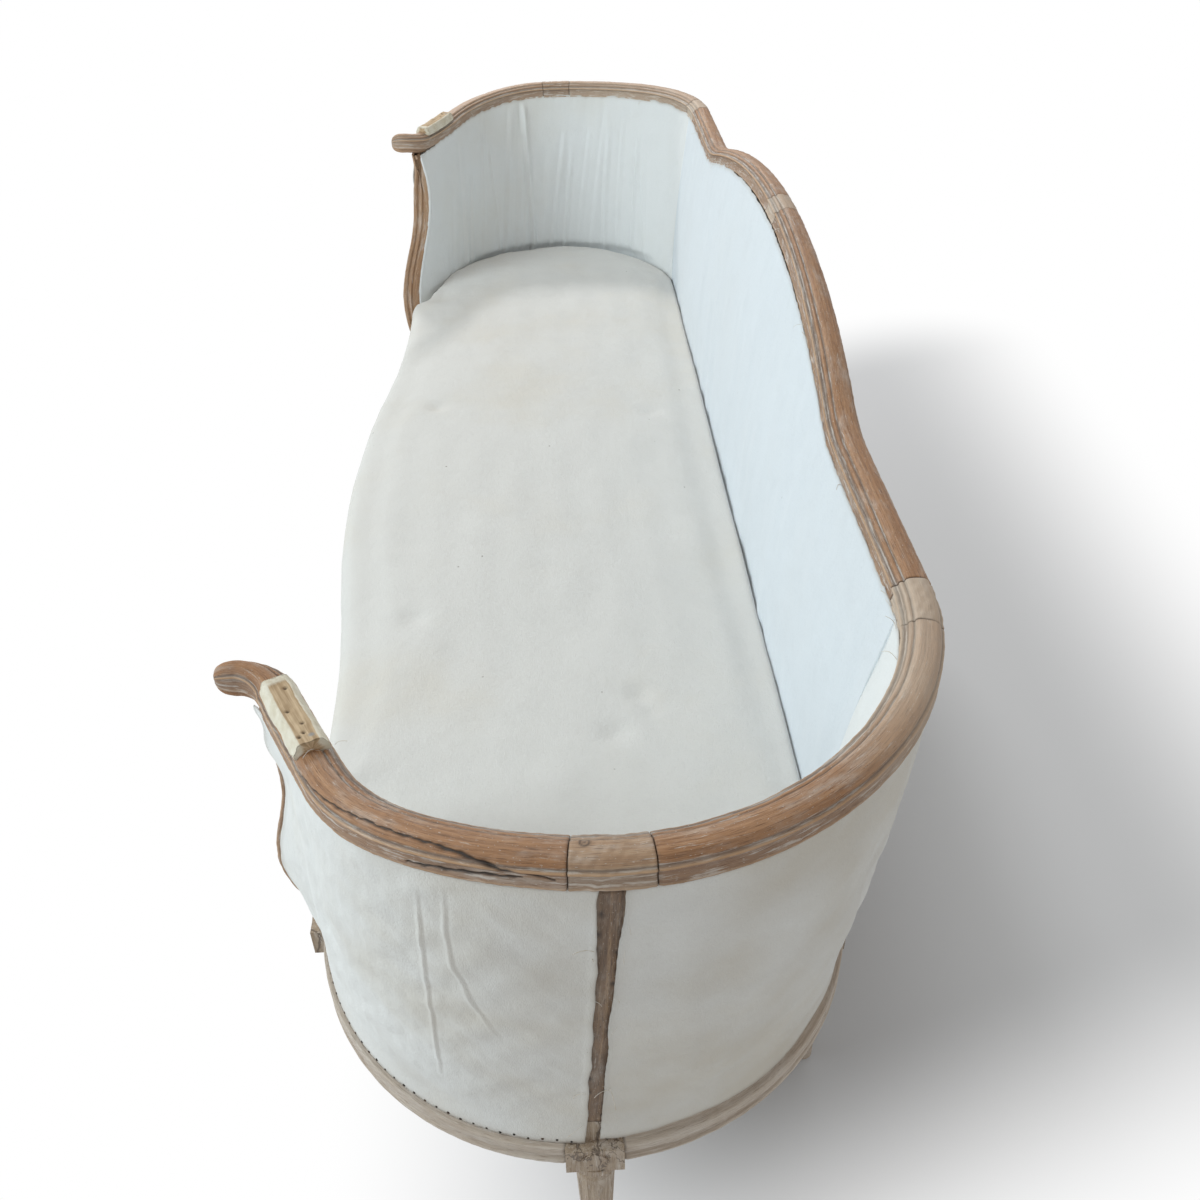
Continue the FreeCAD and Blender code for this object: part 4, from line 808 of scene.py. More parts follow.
web_jute = jute("jute_webbing", (0.27, 0.19, 0.11), (0.48, 0.37, 0.24), 0.0022)
web_level = SEAT_RAIL_TOP + 0.0022
across_lines, along_lines = [], []
for i, x in enumerate(ACROSS_X):
    front_y = max(front(x - WEB_HALF).point.y, front(x + WEB_HALF).point.y) + 0.010
    spots = [(x, y, web_level + woven(y, ALONG_Y, i)) for y in np.linspace(front_y, WEB_BACK, 90)]
    across_lines.append((spots, (1, 0, 0)))
for j, y in enumerate(ALONG_Y):
    reach = BASE_MIDDLE[0] + math.sqrt(WEB_ROUND ** 2 - (abs(y - BASE_MIDDLE[1]) + WEB_HALF) ** 2)
    spots = [(x, y, web_level - woven(x, ACROSS_X, j)) for x in np.linspace(-reach, reach, 260)]
    along_lines.append((spots, (0, -1, 0)))
straps("webbing_across", "seat_webbing_across", across_lines)
straps("webbing_along", "seat_webbing_along", along_lines)

WALL_BACK, WALL_FACE = -0.0128, -0.0298
HESSIAN_TOP = 0.3455
SEAT_CORNER, SEAT_STEP = 0.742, 0.012
SPINE, SPINE_Y = 0.56, -0.03


def seat_line(wall_out, front_in):
    """The seat's outline from above, anticlockwise from the front left, with a mark: 1 at the front."""
    radius = BASE_RADIUS + wall_out
    across = np.linspace(-SEAT_CORNER, SEAT_CORNER, int(2 * SEAT_CORNER / SEAT_STEP))
    line = [(x, front(x).point.y + front_in, 1.0) for x in across]
    ring = []
    for turn in np.linspace(-70, 90, int(2.8 * radius / SEAT_STEP)):
        angle = math.radians(turn)
        x, y = BASE_MIDDLE[0] + radius * math.cos(angle), BASE_MIDDLE[1] + radius * math.sin(angle)
        ring.append((x, y, 0.0))
    side = [(SEAT_CORNER + 0.008, -0.290, 0.6), (SEAT_CORNER + 0.018, -0.277, 0.2)]
    start, end = np.array(side[-1]), np.array(ring[0])
    side += [tuple(start + (end - start) * share) for share in np.linspace(0, 1, 9)[1:-1]]
    ring = side + ring
    along = np.linspace(BASE_MIDDLE[0], -BASE_MIDDLE[0], int(1.55 / SEAT_STEP))[1:-1]
    back = [(x, BASE_MIDDLE[1] + radius, 0.0) for x in along]
    return np.array(line + ring + back + [(-x, y, m) for x, y, m in reversed(ring)])


def spine(line):
    """The spots on the line along the seat's middle that an outline shrinks to."""
    return np.stack([np.clip(line[:, 0] * 0.74, -SPINE, SPINE), np.full(len(line), SPINE_Y)], 1)


def rings(line, shares, heights):
    """Points on rings that shrink from an outline to the seat's middle line."""
    middle, made = spine(line), []
    for share, height in zip(shares, heights):
        spots = middle + (line[:, :2] - middle) * np.reshape(share, (-1, 1))
        made.append(np.column_stack([spots, np.broadcast_to(height, len(line))]))
    return made


def ring_shell(levels):
    """Closed skin over rings, ends included."""
    columns = len(levels[0])
    faces = tube_faces(len(levels), columns)
    for first in (0, (len(levels) - 1) * columns):
        faces.append(tuple(range(first, first + columns)))
    return np.concatenate(levels), faces


hessian_line = seat_line(WALL_BACK - 0.0003, 0.0120)
hessian_shares = [0.03, 0.2, 0.4, 0.6, 0.8, 1.0]
hessian_rings = rings(hessian_line, hessian_shares, [HESSIAN_TOP - 0.0003] * 6)
hessian_rings += rings(hessian_line, hessian_shares[::-1], [HESSIAN_TOP - 0.0013] * 6)
hessian_jute = jute("hessian_jute", (0.30, 0.22, 0.13), (0.52, 0.42, 0.28), 0.0014)
vertices, faces = ring_shell(hessian_rings)
hessian = new_piece("hessian_sheet", vertices, faces, hessian_jute)
fix(hessian, "hessian", "seat_hessian")

# Seat.
# A stuffed seat in plain calico, pulled over the front rail's edge and tucked under the walls.
# It is nearly flat, a little crowned, with a soft rounded front and small dents from use.
SEAT_EDGE, SEAT_CROWN = 0.458, 0.020
SEAT_VOXEL = 0.011
SEAT_FOOT, SEAT_TUCK = 0.3475, 0.004
FRONT_ROUND, WALL_ROUND = 0.038, 0.007
HELD_BELOW, DENTED_ABOVE = 0.375, 0.42
PRESSURE, PRESSED_FRAMES = 4.0, 16
MOVE_SHARE, MOVE_LIMIT, RISE_LIMIT = 0.3, 0.0015, 0.0035


def calico(name, tone, warm, stain, fleck):
    """Plain unbleached cotton: fine weave, slubs, faint stains and a few dark specks."""
    material, tree, shader = blank_material(name, 0.92, 0.12)
    shader.inputs["Sheen Weight"].default_value = 0.12
    shader.inputs["Sheen Roughness"].default_value = 0.6
    where = place_on(tree)
    cloud = clouds(tree, where, (3.2, 3.2, 3.2), 4, 0.6)
    mottle = clouds(tree, where, (22, 22, 22), 4, 0.6)
    slubs = [clouds(tree, where, scale, 2) for scale in ((900, 160, 900), (160, 900, 300))]
    thread = summed(tree, "ADD", *slubs)
    spots = put(tree, "ShaderNodeTexVoronoi", {"Vector": where, "Scale": 30.0}, feature="F1")
    small = between(tree, spots.outputs["Distance"], 0.06, 0.025)
    rare = between(tree, clouds(tree, where, (41, 41, 41), 1), 0.58, 0.62)
    flecks = summed(tree, "MULTIPLY", summed(tree, "MULTIPLY", small, rare), fleck)
    colour = layered(tree, tone, [
        (between(tree, cloud, 0.42, 0.72, stain), warm),
        (between(tree, mottle, 0.45, 0.75, 0.35), [c * 0.93 for c in tone]),
        (between(tree, thread, 1.05, 1.35, 0.25), [c * 0.82 for c in tone]),
        (flecks, (0.20, 0.17, 0.14)),
        # Brown-grey where marked: darker edges and faint stains.
        (painted(tree, "dark_edges_and_stains"), (0.36, 0.30, 0.23))])
    pulled = clouds(tree, where, (48, 48, 30), 5, 0.62)
    weave = summed(tree, "ADD", thread, summed(tree, "MULTIPLY", pulled, 4.0))
    coloured(tree, shader, colour, weave, 0.45, 0.0009)
    return material


seat_calico = calico("seat_calico", (0.715, 0.705, 0.68), (0.68, 0.635, 0.555), 0.6, 0.8)
outer = seat_line(WALL_FACE + 0.0060, 0.0050)
ahead = outer[:, 2]
for _ in range(6):
    ahead = (np.roll(ahead, 1) + ahead * 2 + np.roll(ahead, -1)) / 4
round_off = WALL_ROUND + (FRONT_ROUND - WALL_ROUND) * ahead
spread = np.linalg.norm(outer[:, :2] - spine(outer), axis=1)
foot = SEAT_FOOT - 0.0005 * ahead
edge = SEAT_EDGE + SEAT_TUCK * (1 - ahead)
levels = rings(outer, [0.05, 0.35, 0.7, 0.93], [foot] * 4)
for share in (0.0, 0.35, 0.7):
    levels += rings(outer, [0.985 + 0.015 * math.sin(math.pi / 2 * share / 0.7)],
                    [foot + (SEAT_EDGE - round_off - foot) * share])
for turn in np.linspace(0, 90, 7):
    angle = math.radians(turn)
    inward = round_off * (1 - math.cos(angle))
    height = SEAT_EDGE - round_off * (1 - math.sin(angle)) + SEAT_TUCK * (1 - ahead)
    levels += rings(outer, [1 - inward / spread], [height])
for share in np.linspace(0.86, 0.04, 16):
    inside = 1 - (share / 0.9) ** 2.2
    height = edge + (SEAT_EDGE + SEAT_CROWN - edge) * max(inside, 0.02)
    levels += rings(outer, [share * (1 - round_off / spread * 0.3)], [height])
vertices, faces = ring_shell(levels)
seat = new_piece("seat_cushion", vertices, faces, seat_calico)


def settle(piece):
    """Apply every modifier of a piece."""
    bpy.context.view_layer.update()
    graph = bpy.context.evaluated_depsgraph_get()
    made = bpy.data.meshes.new_from_object(piece.evaluated_get(graph))
    old = piece.data
    piece.modifiers.clear()
    piece.data = made
    bpy.data.meshes.remove(old)


def spots_of(piece):
    flat = np.zeros(len(piece.data.vertices) * 3, np.float32)
    piece.data.vertices.foreach_get("co", flat)
    return flat.reshape(-1, 3).astype(float)


def move_to(piece, points):
    piece.data.vertices.foreach_set("co", np.asarray(points, np.float32).ravel())
    piece.data.update()


even = seat.modifiers.new("even", "REMESH")
even.mode = "VOXEL"
even.voxel_size = SEAT_VOXEL
even.use_smooth_shade = True
settle(seat)
before = spots_of(seat)
cloth = seat.modifiers.new("stuffing", "CLOTH")
held = seat.vertex_groups.new(name="held")
held.add([i for i, p in enumerate(before) if p[2] < HELD_BELOW], 1.0, "REPLACE")
cloth.settings.vertex_group_mass = "held"
cloth.settings.use_pressure = True
cloth.settings.uniform_pressure_force = PRESSURE
cloth.settings.effector_weights.gravity = 0.0
cloth.settings.quality = 4
cloth.collision_settings.use_collision = False
for step in range(1, PRESSED_FRAMES + 1):
    bpy.context.scene.frame_set(step)
settle(seat)
bpy.context.scene.frame_set(1)
moved = spots_of(seat) - before
moved = np.clip(moved * MOVE_SHARE, -MOVE_LIMIT, (MOVE_LIMIT, MOVE_LIMIT, RISE_LIMIT))
move_to(seat, before + moved)
seat.vertex_groups.clear()
SEAT_DENTS = [(-0.212, -0.217, 0.015, 0.008), (-0.162, 0.164, 0.016, 0.006), (0.412, -0.208, 0.018, 0.006),
              (0.598, 0.088, 0.014, 0.008), (0.668, 0.053, 0.016, 0.007), (0.63, 0.10, 0.011, 0.005),
              (0.05, -0.05, 0.10, 0.004), (-0.55, 0.02, 0.12, 0.004), (0.55, -0.10, 0.14, 0.004)]
points = spots_of(seat)
for x, y, wide, deep in SEAT_DENTS:
    gap = (points[:, 0] - x) ** 2 + (points[:, 1] - y) ** 2
    points[:, 2] -= (points[:, 2] > DENTED_ABOVE) * deep * np.exp(-gap / wide ** 2)
uneven = 0.003 * ripple(points * (1, 1, 0), 0.34, 5) + 0.0013 * ripple(points * (1, 1.6, 0), 0.085, 6)
points[:, 2] += ramp(points[:, 2], 0.40, 0.45) * uneven
move_to(seat, points)
smooth = seat.modifiers.new("round", "SUBSURF")
smooth.levels = smooth.render_levels = 1
settle(seat)
seat.data.polygons.foreach_set("use_smooth", [True] * len(seat.data.polygons))
fix(seat, "seat_calico", "seat_pad")

# Upright webbing.
# Straps of the same jute behind the stuffed walls, tacked from the seat rail to the top rail.
# They carry the stuffing, and the outside covers hide them.


def wall(k, height, out):
    """Spot on the wall, which leans out from the seat rail to the top rail and is upright below."""
    foot = base(k)
    low = foot.at(0, 0, SEAT_RAIL_TOP)
    run = top(k).at(0, 0, -RAIL_HEIGHT) - low
    share = (height - SEAT_RAIL_TOP) / run.z
    if share < 0:
        run = run - foot.out * run.dot(foot.out)
    return low + run * share + foot.out * out


QUARTER = math.pi / 2 * TOP_RADIUS
WALL_LAST = 2.9
WEB_OUT = -0.0103
upright_lines = []
for first, last, count in ((0, CORNER, 6), (CORNER, 2, 3), (2, WALL_LAST, 3)):
    for i in range(count):
        k = first + (last - first) / count * (i + 0.5)
        head = top(k).at(0, 0, -RAIL_HEIGHT).z - 0.002
        spots = np.array([wall(k, z, WEB_OUT) for z in np.linspace(SEAT_RAIL_TOP + 0.0002, head, 14)])
        sideways = np.array(base(k).along)
        for flip in (1, -1):
            upright_lines.append((spots * (flip, 1, 1), sideways * (flip, 1, 1)))
straps("webbing_upright", "wall_webbing", upright_lines)

# Inside walls.
# Thin stuffing under calico, strained from the rail's rebate down behind the seat: one piece
# along the back and one round each end. The cloth pulls into upright creases in the round ends,
# and its raw edge shows along the rail.
WALL_BELLY, WALL_TOP_OUT = 0.013, -0.0199
LINING_FOOT, LINING_HEAD, LINING_THICK = 0.002, 0.0105, 0.0165
# The back lining's calico is painted a cool blue and a little darker, standing in for the window's daylight
# falling on it; the ends' calico is painted lighter to make up for the less light that reaches them.
inside_calico = calico("inside_calico", (0.73, 0.785, 0.83), (0.715, 0.755, 0.785), 0.5, 0.25)
end_calico_painted_lighter = calico("inside_end_calico", (0.80, 0.825, 0.83), (0.75, 0.745, 0.70), 0.6, 0.4)


def wall_face(share, k, beyond):
    """Spot on the stuffed face, from behind the seat up to the rail; beyond 0 it turns to the front post."""
    at = abs(k)
    low, high = HESSIAN_TOP + LINING_FOOT, top(min(at, 3.0)).at(0, 0, -RAIL_HEIGHT).z + LINING_HEAD
    swell = WALL_BELLY * (1 - 0.75 * swing((at - 2) / 0.9))
    rise, fall = min(share / 0.62, 1), min((1 - share) / 0.7, 1)
    bulge = swell * math.sin(math.pi * rise / 2) * math.sin(math.pi * fall / 2)
    out = WALL_FACE + (WALL_TOP_OUT - WALL_FACE) * share - bulge
    out += 0.011 * swing((0.285 - share) / 0.05) * swing((at - 1.25) / 0.3) * swing((2.8 - at) / 0.3)
    spot = wall(at, low + (high - low) * share, out)
    if beyond > 0:
        target = front_post_axis(share * 0.985, -0.0172, -0.0150)
        target.z = low + (POST_HEAD.z - low) * share
        spot = spot.lerp(target, swing(beyond) * 0.35 + beyond * 0.65)
    if k < 0:
        spot.x = -spot.x
    return spot


def panel(face, stations, heights, row, way):
    """Grid over stations and heights, its run along one row, and normals out of (1) or into (-1) the sofa."""
    grid = np.array([[face(height, *station) for station in stations] for height in heights])
    run, normals = runs(grid[row]), grid_normals(grid)
    middle = row, len(run) // 2
    return grid, run, normals * np.sign(way * (normals[middle] @ (grid[middle] * (0.4, 1, 0))))


def folded(run, share, folds, fade, trough):
    """Rise of folds of (at, wide, deep, low, high, lean, bow), each beside a trough of (deep, at, wide)."""
    trough_deep, trough_at, trough_wide = trough
    rise = 0
    for at, wide, deep, low, high, lean, bow in folds:
        line = at * run[-1] + lean * (share - 0.5) - bow * run[-1] * np.clip(0.8 - share, 0, 1) ** 1.5
        reach = ramp(share, low, low + fade) * ramp(share, high, high - fade)
        gap = (run[None] - line) / wide
        beside = trough_deep * np.exp(-((gap - trough_at) / trough_wide) ** 2)
        rise = rise + reach * deep * (np.exp(-gap ** 2) - beside)
    return rise


def cloth_piece(name, grid, thick, normals, flip, material, dark_edges_and_stains):
    vertices, faces = cloth_shell(grid, thick, normals)
    if flip:
        vertices = vertices * (-1, 1, 1)
    dark_edges_and_stains = np.tile(np.broadcast_to(dark_edges_and_stains, grid.shape[:2]).ravel(), 2)
    return new_piece(name, vertices, faces, material, None, {"dark_edges_and_stains": dark_edges_and_stains})


def lining(name, stations, flip, material, creases, seed, nodes):
    """Stuffed wall over stations of (k, beyond), with its creases."""
    heights = np.concatenate([np.linspace(0, 0.93, 64), np.linspace(0.94, 1.0, 10)])
    grid, run, inwards = panel(wall_face, stations, heights, 32, -1)
    share = heights[:, None]
    ease = ramp(share, 0, 0.1) * ramp(share, 1, 0.95)
    push = 0.0016 * ripple(grid, 0.22, seed) + 0.0006 * ripple(grid * (1, 1, 0.35), 0.05, seed + 1)
    push = push + folded(run, share, creases, 0.12, (0.55, 1.6, 0.8))
    grid = grid + inwards * (push * ease)[..., None]
    level = grid * (1, 1, 0)
    raw = 0.0018 * ripple(level, 0.016, seed + 2) + 0.0016 * ripple(level, 0.045, seed + 3)
    grid[..., 2] += raw * ramp(share, 0.93, 1)
    thick = np.maximum(LINING_THICK * ramp(share, 1, 0.92), 0.0012)
    # Darker at the top, where the cloth runs under the rail, and at its foot behind the seat.
    dark_edges_and_stains = ramp(share, 0.985, 1) * 0.35 + ramp(share, 0.06, 0) * 0.25
    piece = cloth_piece(name, grid, thick, inwards, flip, material, dark_edges_and_stains)
    fix(piece, "inside_calico", *nodes)


back_stations = [(k, 0.0) for k in np.linspace(-CORNER, CORNER, 260)]
end_stations = [(k, 0.0) for k in np.linspace(CORNER, WALL_LAST, 330)]
end_stations += [(WALL_LAST + 0.001 * i, i / 24) for i in range(1, 25)]
draw = np.random.default_rng(11)
far_creases = [(at + draw.uniform(-0.012, 0.012), draw.uniform(0.0035, 0.008), draw.uniform(0.0014, 0.0036),
                draw.uniform(0.0, 0.25), draw.uniform(0.75, 1.05), draw.uniform(-0.05, 0.05), 0.0)
               for at in np.linspace(0.2, 0.82, 17)]
far_creases.append((0.545, 0.0055, 0.0052, 0.02, 1.05, 0.03, 0.0))
near_creases = [(at, wide * 1.3, deep * 0.6, low, high, -lean, 0.0)
                for at, wide, deep, low, high, lean, _ in far_creases[::2]]
back_creases = [(draw.uniform(0.03, 0.97), 0.02, 0.0009, 0.1, 0.9, draw.uniform(-0.08, 0.08), 0.0)
                for _ in range(14)]
lining("back_lining", back_stations, False, inside_calico, back_creases, 21,
       ["inside_back_left", "inside_back_right"])
for side, creases, seed in (("right", near_creases, 31), ("left", far_creases, 41)):
    lining(f"end_lining_{side}", end_stations, side == "left", end_calico_painted_lighter, creases, seed,
           [f"inside_shoulder_{side}", f"inside_arm_{side}"])

# Outside covers.
# Calico panels stretched between the posts over hessian, tacked under the top rail and along
# the seat rail. Their edges are folded and wavy where they lap the posts.
COVER_FOOT = 0.306
COVER_THICK = 0.0016
STRIP = 0.0098
COVER_OUT, COVER_OUT_TOP, COVER_BULGE = 0.0168, 0.0152, 0.0065
BY_DIE = 0.032
outside_calico = calico("outside_calico", (0.785, 0.79, 0.78), (0.66, 0.615, 0.53), 0.75, 0.9)


def cover_face(share, k, across, beyond):
    """Spot on a cover's face: upright on the seat rail, then leaning out to the top rail."""
    high = top(min(k, 3.0)).at(0, 0.019, -0.0295).z
    height = COVER_FOOT + (high - COVER_FOOT) * share
    rise = max((height - SEAT_RAIL_TOP) / (high - SEAT_RAIL_TOP), 0)
    bulge = COVER_BULGE * math.sin(math.pi * across) * math.sin(math.pi * rise)
    spot = wall(k, height, COVER_OUT + (COVER_OUT_TOP - COVER_OUT) * rise + bulge)
    if beyond > 0:
        above = height - SEAT_RAIL_TOP
        post_share = min(max(above / (POST_HEAD.z - SEAT_RAIL_TOP), 0), 1)
        ahead = 0.0175 + 0.004 * swing((post_share - 0.7) / 0.2) - 0.0183 * swing((post_share - 0.82) / 0.18)
        target = front_post_axis(post_share, 0.0192, ahead)
        if above < BY_DIE:
            by_die = turned(BASE_MIDDLE, BASE_RADIUS + COVER_OUT, front_angle(0.806))
            target = by_die.point.lerp(target, max(above / BY_DIE, 0))
        target.z = COVER_FOOT + (POST_HEAD.z + 0.011 - COVER_FOOT) * share
        spot = spot.lerp(target, beyond)
    return spot


def cover(name, stations, flip, folds, seed, nodes, torn_up=0.0):
    """Panel over stations of (k, share across, beyond), with its folds and its torn lower edge."""
    heights = np.linspace(0, 1, 90)
    grid, run, outwards = panel(cover_face, stations, heights, 45, 1)
    share = heights[:, None]
    edge = np.minimum(run, run[-1] - run)[None]
    ease = ramp(edge, 0, 0.03) * ramp(share, 0.06, 0.16) * ramp(share, 1, 0.95)
    push = 0.0025 * ripple(grid, 0.16, seed) + 0.0013 * ripple(grid, 0.055, seed + 1)
    push = push + 0.0005 * ripple(grid, 0.022, seed + 4) + folded(run, share, folds, 0.1, (0.6, -1.7, 0.9))
    hem = 0.0012 * np.exp(-(edge / 0.004) ** 2) * ramp(share, 0.1, 0.2)
    grid = grid + outwards * (np.maximum(push, -0.0035) * ease + hem)[..., None]
    upright = grid * (0, 0, 1)
    wavy = 0.0016 * ripple(upright, 0.05, seed + 2) + 0.0004 * ripple(upright, 0.016, seed + 3)
    sideways = np.gradient(grid, axis=1)
    sideways /= np.linalg.norm(sideways, axis=2, keepdims=True)
    towards = ramp(run, run[-1] - 0.03, run[-1]) * (stations[-1][2] == 0) - ramp(run, 0.03, 0)
    lap = 0.0032 * ramp(share, 0.95, 0.6) * towards
    grid = grid + sideways * (wavy * ramp(edge, 0.02, 0) + lap)[..., None]
    level = grid * (1, 1, 0)
    torn = 0.0012 * ripple(level, 0.03, seed + 5) + 0.0007 * ripple(level, 0.009, seed + 6)
    torn = torn + torn_up * (0.55 + 0.45 * ripple(level, 0.11, seed + 7))
    grid[..., 2] += torn * ramp(share, 0.05, 0)
    # Darker along the side edges and at the foot, with faint blotchy stains over the panel.
    dark_edges_and_stains = ramp(edge, 0.006, 0) * 0.25 + ramp(share, 0.025, 0) * 0.3
    dark_edges_and_stains = dark_edges_and_stains + 0.13 * np.clip(ripple(grid, 0.14, seed + 8) + (torn_up > 0) * 0.5, 0, 1)
    piece = cloth_piece(name, grid, COVER_THICK, outwards, flip, outside_calico, dark_edges_and_stains)
    fix(piece, "outside_calico", *nodes)


def spread_stations(first, last, count, beyond=0):
    shares = np.linspace(0, 1, count)
    line = [(first + (last - first) * s, s, 0.0) for s in shares]
    return line + [(last, 1.0, i / beyond) for i in range(1, beyond + 1)]


arm_folds = [(0.323, 0.0019, 0.0012, 0.20, 0.95, 0.0, 0.0), (0.270, 0.0019, 0.0012, 0.45, 0.97, 0.0, 0.5),
             (0.75, 0.02, 0.002, 0.2, 0.9, 0.05, 0.0)]
for side in SIDES:
    flip = side == "left"
    cover(f"back_cover_{side}", spread_stations(STRIP / TOP_MIDDLE[0], CORNER - STRIP / QUARTER, 150), flip,
          [(0.3, 0.02, 0.002, 0.1, 0.9, 0.1, 0.0), (0.7, 0.03, 0.002, 0.1, 0.9, -0.1, 0.0)], 51 + flip,
          [f"outside_back_{side}"])
    cover(f"shoulder_cover_{side}", spread_stations(CORNER + STRIP / QUARTER, 2 - STRIP / QUARTER, 90), flip,
          [(0.85, 0.015, 0.002, 0.2, 0.95, 0.04, 0.0), (0.45, 0.03, 0.003, 0.1, 0.9, 0.1, 0.0),
           (0.2, 0.02, 0.0025, 0.3, 0.95, -0.05, 0.0)], 53 + flip,
          [f"outside_shoulder_{side}"],
          0.0 if flip else 0.014)
    cover(f"arm_cover_{side}", spread_stations(2 + STRIP / ARM_RUN, WALL_LAST, 250, 30), flip,
          arm_folds, 55 + flip, [f"outside_arm_{side}"])

# Cover tacks.
# Small blued steel tacks along the lower edge of the covers, close together, driven through
# the calico into the seat rail.
TACK_PITCH, TACK_RADIUS = 0.0125, 0.0015
TACK_HEIGHT, TACK_OUT = 0.3105, 0.0172
tack_steel, tree, shader = blank_material("blued_steel", 0.55)
shader.inputs["Metallic"].default_value = 0.7
rust = clouds(tree, place_on(tree), (300, 300, 300), 3)
coloured(tree, shader, mixed(tree, between(tree, rust, 0.4, 0.7), (0.035, 0.03, 0.028), (0.11, 0.065, 0.04)))


def on_points(name, spots, shape, sizes, material, ways=None):
    """Copies of one small shape on spots, built from its named sizes and made one mesh."""
    mesh = bpy.data.meshes.new(f"{name}_places")
    mesh.from_pydata([tuple(spot) for spot in spots], [], [])
    if ways:
        layer = mesh.attributes.new("way", "FLOAT_VECTOR", "POINT")
        layer.data.foreach_set("vector", np.array(ways, np.float32).ravel())
    piece = bpy.data.objects.new(name, mesh)
    bpy.context.scene.collection.objects.link(piece)
    tree = bpy.data.node_groups.new(f"{name}_copies", "GeometryNodeTree")
    tree.interface.new_socket("Geometry", in_out="INPUT", socket_type="NodeSocketGeometry")
    sockets = [tree.interface.new_socket(key, in_out="INPUT", socket_type="NodeSocketFloat") for key in sizes]
    tree.interface.new_socket("Geometry", in_out="OUTPUT", socket_type="NodeSocketGeometry")
    entry = put(tree, "NodeGroupInput").outputs
    one, turn, size = shape(tree, entry)
    copies = put(tree, "GeometryNodeInstanceOnPoints",
                 {"Points": entry[0], "Instance": one, "Rotation": turn, "Scale": size})
    solid = put(tree, "GeometryNodeRealizeInstances", {"Geometry": copies.outputs[0]})
    finish = put(tree, "GeometryNodeSetMaterial", {"Geometry": solid.outputs[0], "Material": material})
    put(tree, "NodeGroupOutput", {"Geometry": finish.outputs[0]})
    copier = piece.modifiers.new("copies", "NODES")
    copier.node_group = tree
    for socket, value in zip(sockets, sizes.values()):
        copier[socket.identifier] = value
    settle(piece)
    return piece


def tack_head(tree, entry):
    head = put(tree, "GeometryNodeMeshUVSphere", {"Segments": 8, "Rings": 5, "Radius": entry["Head radius"]})
    flat = put(tree, "GeometryNodeTransform", {"Geometry": head.outputs["Mesh"], "Scale": (1, 1, 0.5)})
    way = put(tree, "GeometryNodeInputNamedAttribute", {"Name": "way"}, data_type="FLOAT_VECTOR")
    turn = put(tree, "FunctionNodeAlignRotationToVector", {"Vector": way.outputs[0]}, axis="Z")
    size = put(tree, "FunctionNodeRandomValue", {2: 0.8, 3: 1.2, "Seed": 5})
    return flat.outputs[0], turn.outputs[0], size.outputs[1]


tack_spots, tack_ways = [], []
draw = np.random.default_rng(71)
both_ends, far_end = (1, -1), (-1,)
tack_rows = [(0.03, CORNER - 0.045, both_ends), (CORNER + 0.045, 1.955, far_end), (2.05, 3.0, both_ends)]
for first, last, ends in tack_rows:
    length = (base(last).point - base(first).point).length
    for k in np.linspace(first, last, int(length / TACK_PITCH) + 1):
        out = base(k).out
        spot = wall(k, TACK_HEIGHT + draw.uniform(-0.0015, 0.0015), TACK_OUT)
        for flip in ends:
            tack_spots.append((spot.x * flip, spot.y, spot.z))
            tack_ways.append((out.x * flip, out.y, 0))
tacks = on_points("tacks", tack_spots, tack_head, {"Head radius": TACK_RADIUS}, tack_steel, tack_ways)
fix(tacks, "tack_steel", "cover_tacks")

# Loose threads.
# Frayed ends of the calico where it was torn off: a few at the foot of the arm pad block, along
# the rail's inner edge and beside the end post.
THREAD_LENGTH, THREAD_RADIUS = 0.016, 0.00028
thread_cotton, tree, shader = blank_material("loose_cotton", 0.9)
tint = clouds(tree, place_on(tree), (90, 90, 90), 2)
coloured(tree, shader, mixed(tree, between(tree, tint, 0.3, 0.7), (0.62, 0.55, 0.44), (0.78, 0.76, 0.72)))


def strand(tree, entry):
    length = entry["Length"]
    middle = put(tree, "ShaderNodeCombineXYZ", {"X": summed(tree, "MULTIPLY", length, 0.5),
                                                "Z": summed(tree, "MULTIPLY", length, 0.35)})
    last = put(tree, "ShaderNodeCombineXYZ", {"X": length})
    bend = put(tree, "GeometryNodeCurveQuadraticBezier",
               {"Resolution": 6, "Start": (0, 0, 0), "Middle": middle.outputs[0], "End": last.outputs[0]})
    wire = put(tree, "GeometryNodeCurvePrimitiveCircle", {"Resolution": 5, "Radius": entry["Radius"]})
    thread = put(tree, "GeometryNodeCurveToMesh",
                 {"Curve": bend.outputs[0], "Profile Curve": wire.outputs[0], "Fill Caps": True})
    spin = put(tree, "FunctionNodeRandomValue", {0: (-0.5, -0.9, 0), 1: (0.5, 0.9, 6.28), "Seed": 3},
               data_type="FLOAT_VECTOR")
    size = put(tree, "FunctionNodeRandomValue", {2: 0.35, 3: 1.2, "Seed": 9})
    return thread.outputs[0], spin.outputs[0], size.outputs[1]


draw = np.random.default_rng(83)
thread_spots = []
for _ in range(7):
    ahead, aside, up = draw.uniform(-0.010, 0.004), draw.uniform(-0.020, 0.018), draw.uniform(-0.002, 0.004)
    thread_spots.append(pad_places[1].at(ahead, aside, up))
for _ in range(46):
    k = draw.uniform(0.05, 2.85)
    spot = top(k).at(0, -0.0196, -RAIL_HEIGHT + 0.0095)
    thread_spots.append(Vector((spot.x * draw.choice((1, -1)), spot.y, spot.z)))
for _ in range(16):
    thread_spots.append(wall(2 + draw.choice((-1, 1)) * 0.026, draw.uniform(0.33, 0.74), 0.018))
strand_sizes = {"Length": THREAD_LENGTH, "Radius": THREAD_RADIUS}
threads = on_points("threads", thread_spots, strand, strand_sizes, thread_cotton)
fix(threads, "outside_calico")

